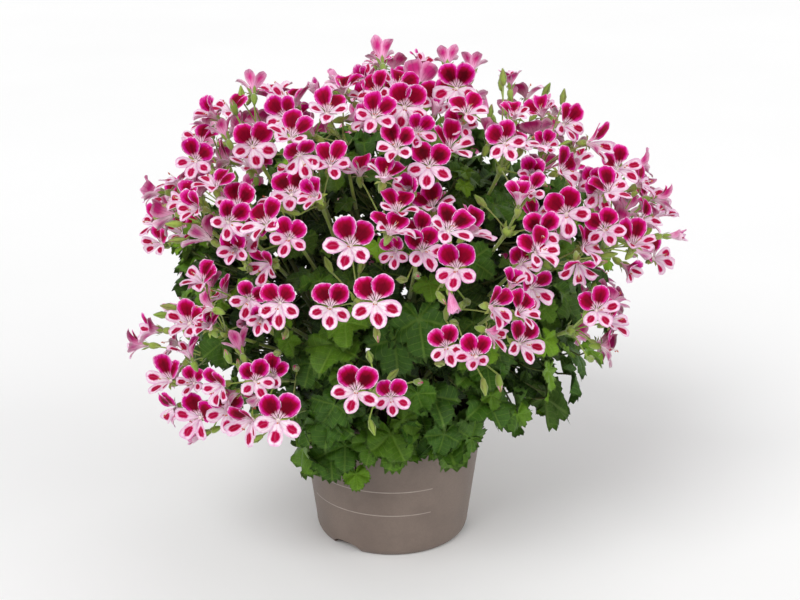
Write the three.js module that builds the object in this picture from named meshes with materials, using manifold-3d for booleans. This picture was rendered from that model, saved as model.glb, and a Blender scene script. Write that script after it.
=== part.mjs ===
import * as THREE from "three";
import { mergeVertices } from "three/addons/utils/BufferGeometryUtils.js";
import Module from "manifold-3d";

// A potted angel pelargonium in bloom, in millimetres, +Z up.
// The origin is the middle of the pot's foot, on the table, and -Y is the side that the picture shows.

const wasm = await Module();
wasm.setup();

// Pot
const POT_HEIGHT = 125;
const RIM_RADIUS = 84;
const RIM_DEPTH = 7;
const RIM_LIP = 2.6;
const WALL = 1.8;
const FOOT_RADIUS = 65.5;
const WALL_SLOPE = 0.13;
const FOOT_ROUND = 10;
const FLOOR = 3;
const CORNER_FILL = 11;
const NOTCH_COUNT = 3;
const NOTCH_WIDTH = 30;
const NOTCH_HEIGHT = 8;
const NOTCH_DEPTH = 9;
const NOTCH_TURN = -128;
const DRAIN_RADIUS = 4;
const DRAIN_RING = 44;
const GAP = 0.3;

// Substrate and the stems that stand in it
const SOIL_TOP = 112;
const SOIL_CROWN = 3;
const STEM_RADIUS = 4.4;
const STEM_DEPTH = 14;
const HOLE_RADIUS = 5.6;
const STEM_RING = 34;
const SHOOT_TURNS = [-168, -134, -100, -62, -18, 50, 122];
const STEM_SIDES = 5;

// Crown of blooms and the shell of leaves under it
const HEART = new THREE.Vector3(0, 0, 130);
const BLOOM_SHELL = { middle: new THREE.Vector3(5, 0, 232), radii: new THREE.Vector3(226, 196, 199) };
const LEAF_SHELL = { middle: new THREE.Vector3(0, 0, 222), radii: new THREE.Vector3(180, 156, 130) };
const HUB_BELOW_BLOOMS = 38;
const PEDUNCLE = 62;
const BLOOM_RADIUS = 19.5;
const CALYX = 6;
const DISC_SLACK = 3.8;
const ROD_SLACK = 3.5;
const OWN_ROD_SLACK = 2.6;
const KNEE_BELOW = 0.5;
const LEAF_LENGTH = 38;

// The picture that the front of the crown follows: 800 by 600 pixels, taken from this eye point
const VIEW = { eye: new THREE.Vector3(6.8, -1400, 748), tilt: 21, focal: 1764, middle: [400, 300] };

// Where the throat of each bloom is seen, in pixels of that picture, truss by truss.
// The words say which way a bloom faces, if not out of its truss, and how far it is open, if not wholly.
const FRONT_TRUSSES = {
  top_tip: [[382, 60, "away"], [375, 91], [398, 84]],
  top_pair: [[342, 88], [319, 98, "out", "furled"], [328, 109], [350, 118, "right", "half"]],
  top_left: [[294, 101], [283, 118], [298, 116], [291, 134]],
  left_spire: [[253, 90, "away"], [253, 146, "front"], [225, 135, "away"], [214, 116, "out", "half"],
    [234, 108, "up", "bud"]],
  left_shoulder: [[206, 123], [199, 140], [195, 160]],
  left_edge: [[176, 180], [184, 200], [159, 192, "left", "half"], [170, 215], [172, 206, "left", "bud"],
    [175, 224, "left", "bud"]],
  left_inner: [[214, 183], [197, 208, "out", "half"], [236, 205], [230, 222]],
  left_middle: [[207, 236], [235, 250, "out", "half"]],
  left_big: [[273, 200], [263, 222], [289, 238, "front"], [291, 192]],
  inner_left: [[289, 169], [331, 163], [308, 174], [314, 196], [301, 158], [315, 149, "up", "bud"],
    [310, 160, "up", "bud"]],
  centre_top: [[405, 107, "front"], [418, 83], [375, 115], [396, 146]],
  centre_high: [[429, 166, "front"], [452, 146], [418, 132], [434, 116, "out", "furled"]],
  right_top: [[456, 88, "front"], [447, 64, "away"], [437, 101], [468, 110], [472, 70, "away"], [461, 124]],
  centre: [[385, 176], [359, 170], [398, 208], [392, 229]],
  centre_low: [[394, 252], [421, 233], [424, 250], [434, 205], [437, 226]],
  centre_right: [[450, 228], [471, 231], [456, 269, "front"], [450, 292, "down", "furled"]],
  middle_low: [[350, 245, "front"], [330, 307, "front"], [375, 302, "front"]],
  rim_front: [[356, 391, "front"], [391, 398, "front"], [418, 382, "out", "bud"]],
  left_row: [[200, 279], [222, 293], [249, 300], [279, 304], [262, 318, "out", "half"]],
  left_wing: [[187, 322], [207, 307], [208, 325], [163, 315, "left", "bud"], [157, 330, "left", "half"],
    [170, 307, "left", "bud"]],
  left_tip: [[143, 345, "left", "half"], [190, 356, "away"]],
  left_low: [[218, 387], [256, 381], [240, 350, "away"], [271, 374], [258, 399], [228, 357, "up", "bud"],
    [240, 367, "up", "bud"]],
  left_corner: [[197, 418], [227, 411], [172, 409], [167, 379], [192, 382]],
  left_hanging: [[249, 422], [278, 420, "front"], [296, 368, "out", "bud"]],
  right_crown: [[505, 143, "front"], [525, 143], [534, 131], [515, 114], [503, 78, "up", "bud"],
    [546, 91, "up", "bud"]],
  right_shoulder: [[541, 112], [568, 124], [545, 145], [578, 143], [593, 143], [563, 98, "up", "bud"]],
  right_edge: [[620, 167], [637, 166, "right", "half"], [611, 189], [601, 193], [642, 183]],
  right_side: [[605, 229], [635, 242], [645, 218], [656, 199, "right", "half"],
    [668, 236, "right", "furled"]],
  right_middle: [[566, 214, "front"], [587, 246], [578, 267, "down"], [608, 255, "right", "bud"],
    [598, 263, "right", "bud"]],
  right_inner: [[539, 250], [541, 234], [558, 236], [524, 264]],
  right_upper: [[536, 217], [519, 202, "up", "half"], [531, 190]],
  right_low: [[522, 311], [534, 290], [495, 307], [511, 287, "up", "half"], [520, 273, "up", "bud"]],
  right_rim: [[492, 332], [523, 343], [446, 347, "front"], [475, 355, "front"], [484, 386, "down", "bud"],
    [499, 382, "down", "bud"]],
  right_corner: [[598, 309], [612, 320], [607, 347], [613, 299]],
};

// Trusses of the far side, each by its turn about the pot from +X and its height angle on the crown
const BACK_TRUSSES = {
  back_low_a: [28, -18], back_low_b: [66, -22], back_low_c: [104, -20], back_low_d: [146, -16],
  back_a: [10, 12], back_b: [42, 10], back_c: [76, 8], back_d: [110, 12], back_e: [142, 10],
  back_f: [172, 14], back_high_a: [50, 38], back_high_b: [94, 36], back_high_c: [136, 40],
  back_top: [92, 66],
};
const BACK_BLOOMS = 5;
const BACK_SPREAD = 31;

// Leaves that the picture shows clearly, in its pixels, each with its length in millimetres
const SEEN_LEAVES = [
  [445, 440, 50], [395, 442, 40], [345, 468, 24], [360, 482, 20], [305, 455, 40], [328, 428, 36],
  [492, 407, 38], [553, 401, 44], [575, 380, 34], [519, 412, 34], [437, 404, 36], [568, 303, 38],
  [586, 177, 20], [573, 170, 20], [300, 330, 40], [420, 330, 42], [470, 310, 40], [330, 350, 40],
  [395, 350, 42], [340, 215, 38], [470, 190, 38], [545, 330, 40], [250, 265, 38], [310, 270, 40],
];
const SPIRAL_LEAVES = 151;
const SPIRAL_STRIDE = 64;
const MOST_LEAVES = 65;

// Even spread of numbers from 0 to 1, the same on each run
function scatter(item, kind) {
  let mixed = (Math.imul(item + 1, 374761393) + Math.imul(kind + 1, 668265263)) | 0;
  mixed = Math.imul(mixed ^ (mixed >>> 13), 1274126177);
  return ((mixed ^ (mixed >>> 16)) >>> 0) / 4294967296;
}

// A direction with each part between -1 and 1, for a natural unevenness
function unevenness(item, kind) {
  return new THREE.Vector3(
    scatter(item, kind) * 2 - 1,
    scatter(item, kind + 1) * 2 - 1,
    scatter(item, kind + 2) * 2 - 1,
  );
}

function along(start, direction, distance) {
  return start.clone().addScaledVector(direction, distance);
}

function towards(start, end) {
  return end.clone().sub(start).normalize();
}

// The direction at a right angle to an axis that lies nearest to a wish
function squareTo(axis, wish) {
  return wish.clone().addScaledVector(axis, -wish.dot(axis)).normalize();
}

// A place in space for a pixel: where its line of sight meets a shell, or comes nearest to it, then deeper
function placeOnShell([across, down], shell, deeper) {
  const tilt = THREE.MathUtils.degToRad(VIEW.tilt);
  const right = (across - VIEW.middle[0]) / VIEW.focal;
  const up = (VIEW.middle[1] - down) / VIEW.focal;
  const sight = new THREE.Vector3(
    right,
    Math.cos(tilt) + up * Math.sin(tilt),
    -Math.sin(tilt) + up * Math.cos(tilt),
  ).normalize();
  const start = VIEW.eye.clone().sub(shell.middle).divide(shell.radii);
  const step = sight.clone().divide(shell.radii);
  const square = step.lengthSq();
  const half = start.dot(step);
  const rest = half * half - square * (start.lengthSq() - 1);
  const reach = (-half - Math.sqrt(Math.max(rest, 0))) / square;
  return along(VIEW.eye, sight, reach + deeper);
}

// The room that stalks and blades take, so that the next one is put clear of those before it
const room = { discs: [], rods: [] };

function discsMeet(one, two, slack) {
  const between = two.at.clone().sub(one.at);
  if (between.length() > one.radius + two.radius + slack) return false;
  const line = one.normal.clone().cross(two.normal);
  const sine = line.length();
  if (sine < 0.35) {
    const apart = Math.max(Math.abs(between.dot(one.normal)), Math.abs(between.dot(two.normal)));
    if (apart < slack) return true;
    if (sine < 0.05) return false;
  }
  line.normalize();
  const inOne = squareTo(one.normal, two.normal);
  const onBoth = along(one.at, inOne, between.dot(two.normal) / inOne.dot(two.normal));
  const chords = [one, two].map((disc) => {
    const away = disc.at.clone().sub(onBoth);
    const middle = away.dot(line);
    const half = (disc.radius + slack / 2) ** 2 - away.lengthSq() + middle * middle;
    return { middle, half: Math.sqrt(Math.max(half, 0)), reached: half > 0 };
  });
  if (!chords[0].reached || !chords[1].reached) return false;
  return Math.abs(chords[0].middle - chords[1].middle) < chords[0].half + chords[1].half;
}

function rodMeetsDisc(rod, disc, slack) {
  const run = rod.end.clone().sub(rod.start);
  const fromPlane = rod.start.clone().sub(disc.at).dot(disc.normal);
  const climb = run.dot(disc.normal);
  const share = Math.abs(climb) < 1e-6 ? 0 : THREE.MathUtils.clamp(-fromPlane / climb, 0, 1);
  const near = along(rod.start, run, share).sub(disc.at);
  const off = Math.abs(near.dot(disc.normal));
  return off < slack && Math.sqrt(Math.max(near.lengthSq() - off * off, 0)) < disc.radius + slack;
}

function rodsMeet(one, two, slack) {
  const p = one.end.clone().sub(one.start);
  const q = two.end.clone().sub(two.start);
  const r = one.start.clone().sub(two.start);
  const [pp, pq, qq, pr, qr] = [p.dot(p), p.dot(q), q.dot(q), p.dot(r), q.dot(r)];
  const flat = pp * qq - pq * pq;
  let s = flat > 1e-9 ? THREE.MathUtils.clamp((pq * qr - qq * pr) / flat, 0, 1) : 0;
  const t = THREE.MathUtils.clamp((pq * s + qr) / qq, 0, 1);
  s = THREE.MathUtils.clamp((pq * t - pr) / pp, 0, 1);
  return along(one.start, p, s).distanceTo(along(two.start, q, t)) < slack;
}

function wallRadius(height) {
  return FOOT_RADIUS + WALL_SLOPE * height;
}

function insidePot(point, slack) {
  if (point.z > POT_HEIGHT + slack) return false;
  const outside = point.z > POT_HEIGHT - RIM_DEPTH * 3 ? RIM_RADIUS : wallRadius(point.z);
  return Math.hypot(point.x, point.y) < outside + slack;
}

function discInPot(disc) {
  const side = squareTo(disc.normal, new THREE.Vector3(0.31, 0.17, 0.93));
  const other = disc.normal.clone().cross(side);
  for (let turn = 0; turn < 8; turn += 1) {
    const angle = (turn * Math.PI) / 4;
    const out = along(disc.at, side, disc.radius * Math.cos(angle));
    if (insidePot(along(out, other, disc.radius * Math.sin(angle)), 3)) return true;
  }
  return insidePot(disc.at, 3);
}

// How badly a blade and its stalk would touch what is already there. Where a stalk leaves the one that bears
// it they meet, so only its outer part is kept clear of those with the same owner
const OWN_CROSSING = 1;
const OTHER_CROSSING = 20;

function crossings(discs, rods, owner) {
  const root = rods[0];
  const outer = [{ start: root.start.clone().lerp(root.end, 0.35), end: root.end }, ...rods.slice(1)];
  const weigh = (other) => (other.owner === owner ? OWN_CROSSING : OTHER_CROSSING);
  let count = 0;
  const low = [0, 0.2, 0.4, 0.6, 0.8].some((share) => insidePot(root.start.clone().lerp(root.end, share), 2));
  if (low || discs.some(discInPot)) count += OTHER_CROSSING;
  room.discs.forEach((other) => {
    const met = discs.some((disc) => discsMeet(disc, other, DISC_SLACK));
    if (met || rods.some((rod) => rodMeetsDisc(rod, other, ROD_SLACK))) count += weigh(other);
  });
  room.rods.forEach((other) => {
    const own = other.owner === owner;
    const met = own
      ? outer.some((rod) => rodsMeet(rod, other, OWN_ROD_SLACK))
      : rods.some((rod) => rodsMeet(rod, other, ROD_SLACK));
    if (met || discs.some((disc) => rodMeetsDisc(other, disc, ROD_SLACK))) count += weigh(other);
  });
  return count;
}

// The way of a pedicel: from the hub to the calyx, with a knee behind the calyx where the bloom nods
function pedicel(hub, at, face) {
  const seat = along(at, face, -CALYX);
  const knee = along(at, face, -CALYX * 2.3);
  return towards(hub, at).dot(face) < KNEE_BELOW ? [hub, knee, seat] : [hub, seat];
}

const UP = new THREE.Vector3(0, 0, 1);
const DEEPER_TRIES = [0, 5, -5, 10, -10, 15, 20, 25, -15, 30, 36, 42, -20];
const TURN_TRIES = [0, 0.25, 0.4, 0.55];
const SIZE_TRIES = [1, 0.9, 0.8, 0.68];
const LEAST_LEAN = 0.5;
const NEAREST_BLOOM = 24;

// The way that a bloom faces
function facing(word, place, out, item) {
  const viewer = towards(place, VIEW.eye);
  const ways = {
    out: out.clone().multiplyScalar(0.9).addScaledVector(viewer, place.y < 40 ? 0.35 : 0),
    front: viewer.clone().addScaledVector(UP, 0.1),
    away: new THREE.Vector3(out.x * 0.5, 0.75, 0.55),
    left: new THREE.Vector3(-1, -0.1, 0.15),
    right: new THREE.Vector3(1, -0.1, 0.15),
    up: new THREE.Vector3(out.x * 0.4, out.y * 0.4, 1),
    down: new THREE.Vector3(out.x * 0.5, -0.35, -0.9),
  };
  const uneven = word === "out" ? 0.3 : 0.12;
  return ways[word].normalize().addScaledVector(unevenness(item, 20), uneven).normalize();
}

// The room that a bloom takes: its rim, and its throat half way down to the calyx
function bloomDiscs(at, face, radius, forward, owner) {
  return [
    { at: along(at, face, forward), normal: face, radius: radius * 1.04, owner },
    { at: along(at, face, (forward - CALYX) / 2), normal: face, radius: radius * 0.55, owner },
  ];
}

const BLOOM_FORMS = {
  open: { radius: BLOOM_RADIUS, forward: 2.5 },
  half: { radius: 12, forward: 11 },
  furled: { radius: 5.5, forward: 15 },
  bud: { radius: 2.6, forward: 7 },
};

let bloomCount = 0;

// Hangs one truss on the crown: its blooms kept clear of all those before them, its hub and its stalk's foot
function layTruss(name, wishes) {
  const middle = new THREE.Vector3();
  const open = wishes.filter((wish) => wish.form !== "bud");
  open.forEach((wish) => middle.addScaledVector(wish.place(0), 1 / open.length));
  const out = towards(HEART, middle);
  const hub = along(middle, out, -HUB_BELOW_BLOOMS);
  const foot = along(hub, out, -PEDUNCLE);
  const truss = { name, hub, foot, out, blooms: [] };
  room.rods.push({ start: foot, end: hub, owner: name });
  wishes.forEach((wish) => {
    const item = bloomCount;
    bloomCount += 1;
    const form = BLOOM_FORMS[wish.form];
    const turns = TURN_TRIES.flatMap((turn) => DEEPER_TRIES.map((deeper) => [turn, deeper]));
    const tries = SIZE_TRIES.flatMap((size) => turns.map(([turn, deeper]) => [size, turn, deeper]));
    const grown = 0.94 + 0.12 * scatter(item, 10);
    let best = null;
    tries.some(([size, turn, deeper], count) => {
      const at = wish.place(deeper);
      const outward = towards(hub, at).multiplyScalar(0.75).addScaledVector(out, 0.45).normalize();
      const face = facing(wish.way, at, outward, item);
      face.addScaledVector(unevenness(item, 100 + count), turn).normalize();
      const lean = face.dot(towards(hub, at));
      face.addScaledVector(towards(hub, at), Math.max(LEAST_LEAN - lean, 0)).normalize();
      const radius = form.radius * size * grown;
      const discs = bloomDiscs(at, face, radius, form.forward, name);
      const way = pedicel(hub, at, face);
      const rods = way.slice(1).map((end, place) => ({ start: way[place], end, owner: name }));
      const close = at.distanceTo(hub) < NEAREST_BLOOM ? OWN_CROSSING * 2 : 0;
      const crowded = crossings(discs, rods, name) + close;
      if (!best || crowded < best.crowded) best = { at, face, radius, discs, rods, crowded };
      return crowded === 0;
    });
    const roll = squareTo(best.face, UP.clone().addScaledVector(out, -0.35));
    const up = squareTo(best.face, roll.addScaledVector(unevenness(item, 30), 0.25));
    truss.blooms.push({ at: best.at, face: best.face, up, radius: best.radius, form: wish.form, item });
    room.discs.push(...best.discs);
    room.rods.push(...best.rods);
  });
  return truss;
}

const trusses = [];
Object.entries(FRONT_TRUSSES).forEach(([name, seen]) => {
  const wishes = seen.map(([across, down, way = "out", form = "open"]) => ({
    place: (deeper) => placeOnShell([across, down], BLOOM_SHELL, deeper),
    way,
    form,
  }));
  trusses.push(layTruss(name, wishes));
});
Object.entries(BACK_TRUSSES).forEach(([name, [turn, rise]]) => {
  const turned = THREE.MathUtils.degToRad(turn);
  const raised = THREE.MathUtils.degToRad(rise);
  const out = new THREE.Vector3(
    Math.cos(turned) * Math.cos(raised),
    Math.sin(turned) * Math.cos(raised),
    Math.sin(raised),
  );
  const middle = out.clone().multiply(BLOOM_SHELL.radii).add(BLOOM_SHELL.middle);
  const side = squareTo(out, new THREE.Vector3(-out.y, out.x, 0));
  const over = out.clone().cross(side);
  const wishes = [];
  for (let bloom = 0; bloom < BACK_BLOOMS; bloom += 1) {
    const angle = (bloom + scatter(trusses.length, bloom)) * ((Math.PI * 2) / (BACK_BLOOMS - 1));
    const spread = bloom === 0 ? 4 : BACK_SPREAD * (0.9 + 0.3 * scatter(trusses.length, bloom + 40));
    const start = along(along(middle, side, spread * Math.cos(angle)), over, spread * Math.sin(angle));
    const lift = bloom === 0 ? 6 : -6;
    wishes.push({
      place: (deeper) => along(start, out, lift - deeper),
      way: "out",
      form: scatter(trusses.length, bloom + 60) < 0.12 ? "half" : "open",
    });
  }
  const beside = along(along(middle, side, 22), over, 16);
  wishes.push({ place: (deeper) => along(beside, over, -deeper), way: "up", form: "bud" });
  trusses.push(layTruss(name, wishes));
});

// Which of the shoots bears each truss: the middle one for those that stand near the axis
const shoots = [...SHOOT_TURNS, null].map((degrees, number) => {
  const turn = THREE.MathUtils.degToRad(degrees ?? 0);
  const ring = degrees === null ? 0 : STEM_RING;
  const base = new THREE.Vector3(ring * Math.cos(turn), ring * Math.sin(turn), SOIL_TOP - STEM_DEPTH);
  return { name: `shoot_${number + 1}`, turn, base, trusses: [], branches: [], leaves: [] };
});
const middleShoot = shoots[SHOOT_TURNS.length];
trusses.forEach((truss) => {
  const turn = Math.atan2(truss.foot.y, truss.foot.x);
  const outer = shoots.slice(0, SHOOT_TURNS.length);
  outer.sort((one, two) => Math.cos(two.turn - turn) - Math.cos(one.turn - turn));
  const near = Math.hypot(truss.foot.x, truss.foot.y) < 56;
  (near ? middleShoot : outer[0]).trusses.push(truss);
});

// Each shoot's stem rises from its hole to a fork, from which a branch bends out to the foot of each truss
shoots.forEach((shoot) => {
  const middle = new THREE.Vector3();
  shoot.trusses.forEach((truss) => middle.addScaledVector(truss.foot, 1 / shoot.trusses.length));
  shoot.fork = shoot.base.clone().lerp(middle, 0.42);
  const upright = along(shoot.base, UP, (shoot.fork.z - shoot.base.z) * 0.6);
  shoot.stem = new THREE.QuadraticBezierCurve3(shoot.base, upright, shoot.fork);
  shoot.trusses.sort((one, two) => one.foot.z - two.foot.z);
  shoot.trusses.forEach((truss, place) => {
    const root = shoot.stem.getPoint(1 - 0.6 * (1 - (place + 1) / shoot.trusses.length));
    const reach = root.distanceTo(truss.foot);
    const bend = along(truss.foot, truss.out, -reach * 0.5);
    shoot.branches.push(new THREE.QuadraticBezierCurve3(root, bend, truss.foot));
  });
  [shoot.stem, ...shoot.branches].forEach((curve) => {
    room.rods.push({ start: curve.getPoint(0), end: curve.getPoint(0.5), owner: shoot.name });
    room.rods.push({ start: curve.getPoint(0.5), end: curve.getPoint(1), owner: shoot.name });
  });
});

const BRANCH_STOPS = [0.35, 0.44, 0.53, 0.62, 0.71, 0.8, 0.89];
const LONGEST_PETIOLE = 82;

const bearing = new Set();

// A leaf on the nearest free petiole place, if there is room for it
function layLeaf(place, length, item) {
  const disc = { radius: length * 0.56 };
  return [0, 8, -8, 16].some((deeper, count) => {
    const at = place(deeper);
    const out = towards(new THREE.Vector3(0, 0, 200), at);
    disc.normal = out.clone().multiplyScalar(0.75).addScaledVector(UP, 0.55);
    disc.normal.addScaledVector(unevenness(item, 50 + count * 3), 0.5).normalize();
    disc.at = at;
    const wish = new THREE.Vector3(out.x, out.y, -0.35).addScaledVector(unevenness(item, 70), 0.5);
    const blade = squareTo(disc.normal, wish);
    const base = along(at, blade, -length * 0.2);
    const holds = nearestBranch(base, out);
    if (!holds) return false;
    const rod = { start: holds.point, end: along(base, disc.normal, -2), owner: holds.shoot.name };
    disc.owner = holds.shoot.name;
    if (crossings([disc], [rod], holds.shoot.name) > 0) return false;
    room.discs.push({ ...disc });
    room.rods.push(rod);
    bearing.add(holds.key);
    holds.shoot.leaves.push({ base, blade, normal: disc.normal, length, from: holds.point, item });
    return true;
  });
}

// A place along a branch, which is straight between its three stops
function branchPoint(branch, stop) {
  const [low, high] = stop < 0.5 ? [0, 0.5] : [0.5, 1];
  return branch.getPoint(low).lerp(branch.getPoint(high), (stop - low) / 0.5);
}

// The point on a branch from which a petiole reaches a blade's base with the least bend. Each bears one leaf
function nearestBranch(base, out) {
  let found = null;
  shoots.forEach((shoot) => {
    shoot.branches.forEach((branch, number) => {
      BRANCH_STOPS.forEach((stop) => {
        const key = `${shoot.name} ${number} ${stop}`;
        if (bearing.has(key)) return;
        const point = branchPoint(branch, stop);
        const span = base.clone().sub(point);
        const reach = span.length();
        const cost = reach * (2 - span.dot(out) / reach);
        const fits = reach > 20 && reach < LONGEST_PETIOLE && span.dot(out) > 0.2 * reach;
        if (fits && (!found || cost < found.cost)) found = { shoot, point, cost, key };
      });
    });
  });
  return found;
}

SEEN_LEAVES.forEach(([across, down, length], item) => {
  layLeaf((deeper) => placeOnShell([across, down], LEAF_SHELL, deeper), length, item);
});
const GOLDEN_TURN = Math.PI * (3 - Math.sqrt(5));
for (let count = 0; count < SPIRAL_LEAVES; count += 1) {
  const item = (count * SPIRAL_STRIDE) % SPIRAL_LEAVES;
  const height = 0.98 - (1.75 * (item + 0.5)) / SPIRAL_LEAVES;
  const ring = Math.sqrt(1 - height * height);
  const turn = item * GOLDEN_TURN;
  const out = new THREE.Vector3(ring * Math.cos(turn), ring * Math.sin(turn), height);
  const at = out.clone().multiply(LEAF_SHELL.radii).add(LEAF_SHELL.middle);
  const length = LEAF_LENGTH * (0.75 + 0.5 * scatter(item, 90));
  const laid = shoots.reduce((sum, shoot) => sum + shoot.leaves.length, 0);
  if (laid < MOST_LEAVES) layLeaf((deeper) => along(at, out, -deeper), length, item + SEEN_LEAVES.length);
}

// A closed body put together ring by ring, each ring running anticlockwise seen from its tip end
function Body() {
  this.points = [];
  this.faces = [];
}
Body.prototype.ring = function ring(points) {
  const first = this.points.length;
  this.points.push(...points);
  return points.map((point, place) => first + place);
};
Body.prototype.fan = function fan(ring, tip) {
  const [top] = this.ring([tip]);
  ring.forEach((corner, place) => this.faces.push([corner, ring[(place + 1) % ring.length], top]));
};
Body.prototype.close = function close(ring) {
  for (let place = 1; place < ring.length - 1; place += 1) {
    this.faces.push([ring[0], ring[place + 1], ring[place]]);
  }
};
Body.prototype.middleOf = function middleOf(ring) {
  const middle = new THREE.Vector3();
  ring.forEach((corner) => middle.addScaledVector(this.points[corner], 1 / ring.length));
  return middle;
};
Body.prototype.axisOf = function axisOf(ring) {
  const axis = new THREE.Vector3();
  const middle = this.middleOf(ring);
  ring.forEach((corner, place) => {
    const arm = this.points[corner].clone().sub(middle);
    axis.add(arm.cross(this.points[ring[(place + 1) % ring.length]].clone().sub(middle)));
  });
  return axis.normalize();
};
// Joins two rings of any two counts of corners round one axis, from the pair of corners nearest in turn
Body.prototype.sleeve = function sleeve(low, upper) {
  const bend = new THREE.Quaternion().setFromUnitVectors(this.axisOf(low), this.axisOf(upper));
  const way = towards(this.middleOf(low), this.points[low[0]]).applyQuaternion(bend);
  const middle = this.middleOf(upper);
  const turns = upper.map((corner) => towards(middle, this.points[corner]).dot(way));
  const nearest = turns.indexOf(Math.max(...turns));
  const high = [...upper.slice(nearest), ...upper.slice(0, nearest)];
  let [a, b] = [0, 0];
  while (a < low.length || b < high.length) {
    const [one, two] = [low[a % low.length], high[b % high.length]];
    if (b === high.length || (a < low.length && (a + 0.5) / low.length < (b + 0.5) / high.length)) {
      a += 1;
      this.faces.push([one, low[a % low.length], two]);
    } else {
      b += 1;
      this.faces.push([one, high[b % high.length], two]);
    }
  }
};
Body.prototype.solid = function solid() {
  const vertProperties = new Float32Array(this.points.flatMap((point) => point.toArray()));
  const triVerts = new Uint32Array(this.faces.flat());
  const mesh = new wasm.Mesh({ numProp: 3, vertProperties, triVerts });
  mesh.merge();
  return new wasm.Manifold(mesh);
};

// The corners of a ring round a point, square to an axis, its first corner on the side that start points to
function circle(middle, axis, start, radius, sides) {
  const first = squareTo(axis, start);
  const second = axis.clone().cross(first);
  return Array.from({ length: sides }, (_, corner) => {
    const angle = (corner * Math.PI * 2) / sides;
    return along(along(middle, first, radius * Math.cos(angle)), second, radius * Math.sin(angle));
  });
}

// A stalk through some points, with a radius at each, that grows from a ring or, without one, from its own
// closed end, whose first corner lies on the side that start points to. The corners follow on without a
// twist, and the last ring, which it gives back, is square to the way that the stalk ends
function stalk(body, root, points, radii, sides, end, start) {
  const last = points.length - 1;
  const behind = root ? body.middleOf(root) : points[0];
  let first = root ? towards(behind, body.points[root[0]]) : start;
  let below = root;
  points.forEach((point, place) => {
    const axis = place === last ? end : towards(place > 0 ? points[place - 1] : behind, points[place + 1]);
    first = squareTo(axis, first);
    const ring = body.ring(circle(point, axis, first, radii[place], sides));
    if (below) body.sleeve(below, ring);
    else body.close(ring);
    below = ring;
  });
  return below;
}

function endStalk(body, ring) {
  body.close([...ring].reverse());
}

// A bloom's petals, two broad ones above and three narrower below: the turn of each about the throat,
// the turn from its middle to its corner, and its share of the bloom's radius
const PETALS = [
  { turn: 60, half: 20, length: 1.05 },
  { turn: 120, half: 20, length: 1.05 },
  { turn: 204, half: 17, length: 0.92 },
  { turn: 270, half: 17, length: 0.97 },
  { turn: 336, half: 17, length: 0.92 },
];
const CLAW = 0.36;

// A bloom or a bud on its pedicel, which grows from one face of its truss's knob
function addBloom(body, root, bloom, hub) {
  const form = BLOOM_FORMS[bloom.form];
  const side = bloom.up.clone().cross(bloom.face);
  const spot = (turn, radius, forward) => {
    const angle = THREE.MathUtils.degToRad(turn);
    const out = along(along(bloom.at, side, radius * Math.cos(angle)), bloom.up, radius * Math.sin(angle));
    return along(out, bloom.face, forward);
  };
  const [, ...path] = pedicel(hub, bloom.at, bloom.face);
  if (bloom.form === "bud" || bloom.form === "furled") {
    const seat = along(bloom.at, bloom.face, -CALYX);
    const budPath = [seat, along(bloom.at, bloom.face, (form.forward - CALYX) / 2)];
    const ring = stalk(body, root, budPath, [1, bloom.radius], 3, bloom.face);
    body.fan(ring, spot(0, 0, form.forward));
    return;
  }
  const radii = path.length > 1 ? [0.9, 1.5] : [1.5];
  const start = stalk(body, root, path, radii, 3, bloom.face);
  const outline = PETALS.flatMap(({ turn, half, length }, petal) => {
    const reach = bloom.radius * length;
    const lift = form.forward * (0.8 + 0.4 * scatter(bloom.item, petal));
    const next = petal === 4 ? PETALS[0].turn + 360 : PETALS[petal + 1].turn;
    const corners = [spot(turn - half, reach, lift - 0.8), spot(turn + half, reach, lift + 0.8)];
    if (petal > 0) corners.push(spot((turn + next) / 2, bloom.radius * CLAW, form.forward * 0.3));
    return corners;
  });
  const rim = body.ring(outline);
  body.sleeve(start, rim);
  body.fan(rim, spot(0, 0, -2.5));
}

// The solids fused, without the loose scraps that fusing leaves
function largest(solids) {
  const pieces = wasm.Manifold.union(solids).decompose();
  return pieces.sort((one, two) => two.volume() - one.volume())[0];
}

// A truss: its stalk, the knob at the top of it, and every bloom and bud on its own pedicel
const PEDUNCLE_RADIUS = 1.5;
const KNOB_RADIUS = 4.5;
const LEAST_CROSSING = 0.005;
const LEAST_FIT = 0.7;
const CLOSEST_WAYS = 0.92;
const KNOB = knobShape();

// The knob at the top of a peduncle has twenty faces, so that each pedicel can grow from one of its own
function knobShape() {
  const shape = new THREE.IcosahedronGeometry(1, 0);
  shape.deleteAttribute("normal");
  shape.deleteAttribute("uv");
  const merged = mergeVertices(shape, 1e-4);
  const { position } = merged.attributes;
  const corners = [];
  for (let place = 0; place < position.count; place += 1) {
    corners.push(new THREE.Vector3().fromBufferAttribute(position, place));
  }
  const faces = [];
  for (let first = 0; first < merged.index.count; first += 3) {
    faces.push([first, first + 1, first + 2].map((place) => merged.index.getX(place)));
  }
  const normals = faces.map((face) => {
    const middle = new THREE.Vector3();
    face.forEach((corner) => middle.add(corners[corner]));
    return middle.normalize();
  });
  return { corners, faces, normals };
}

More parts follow.
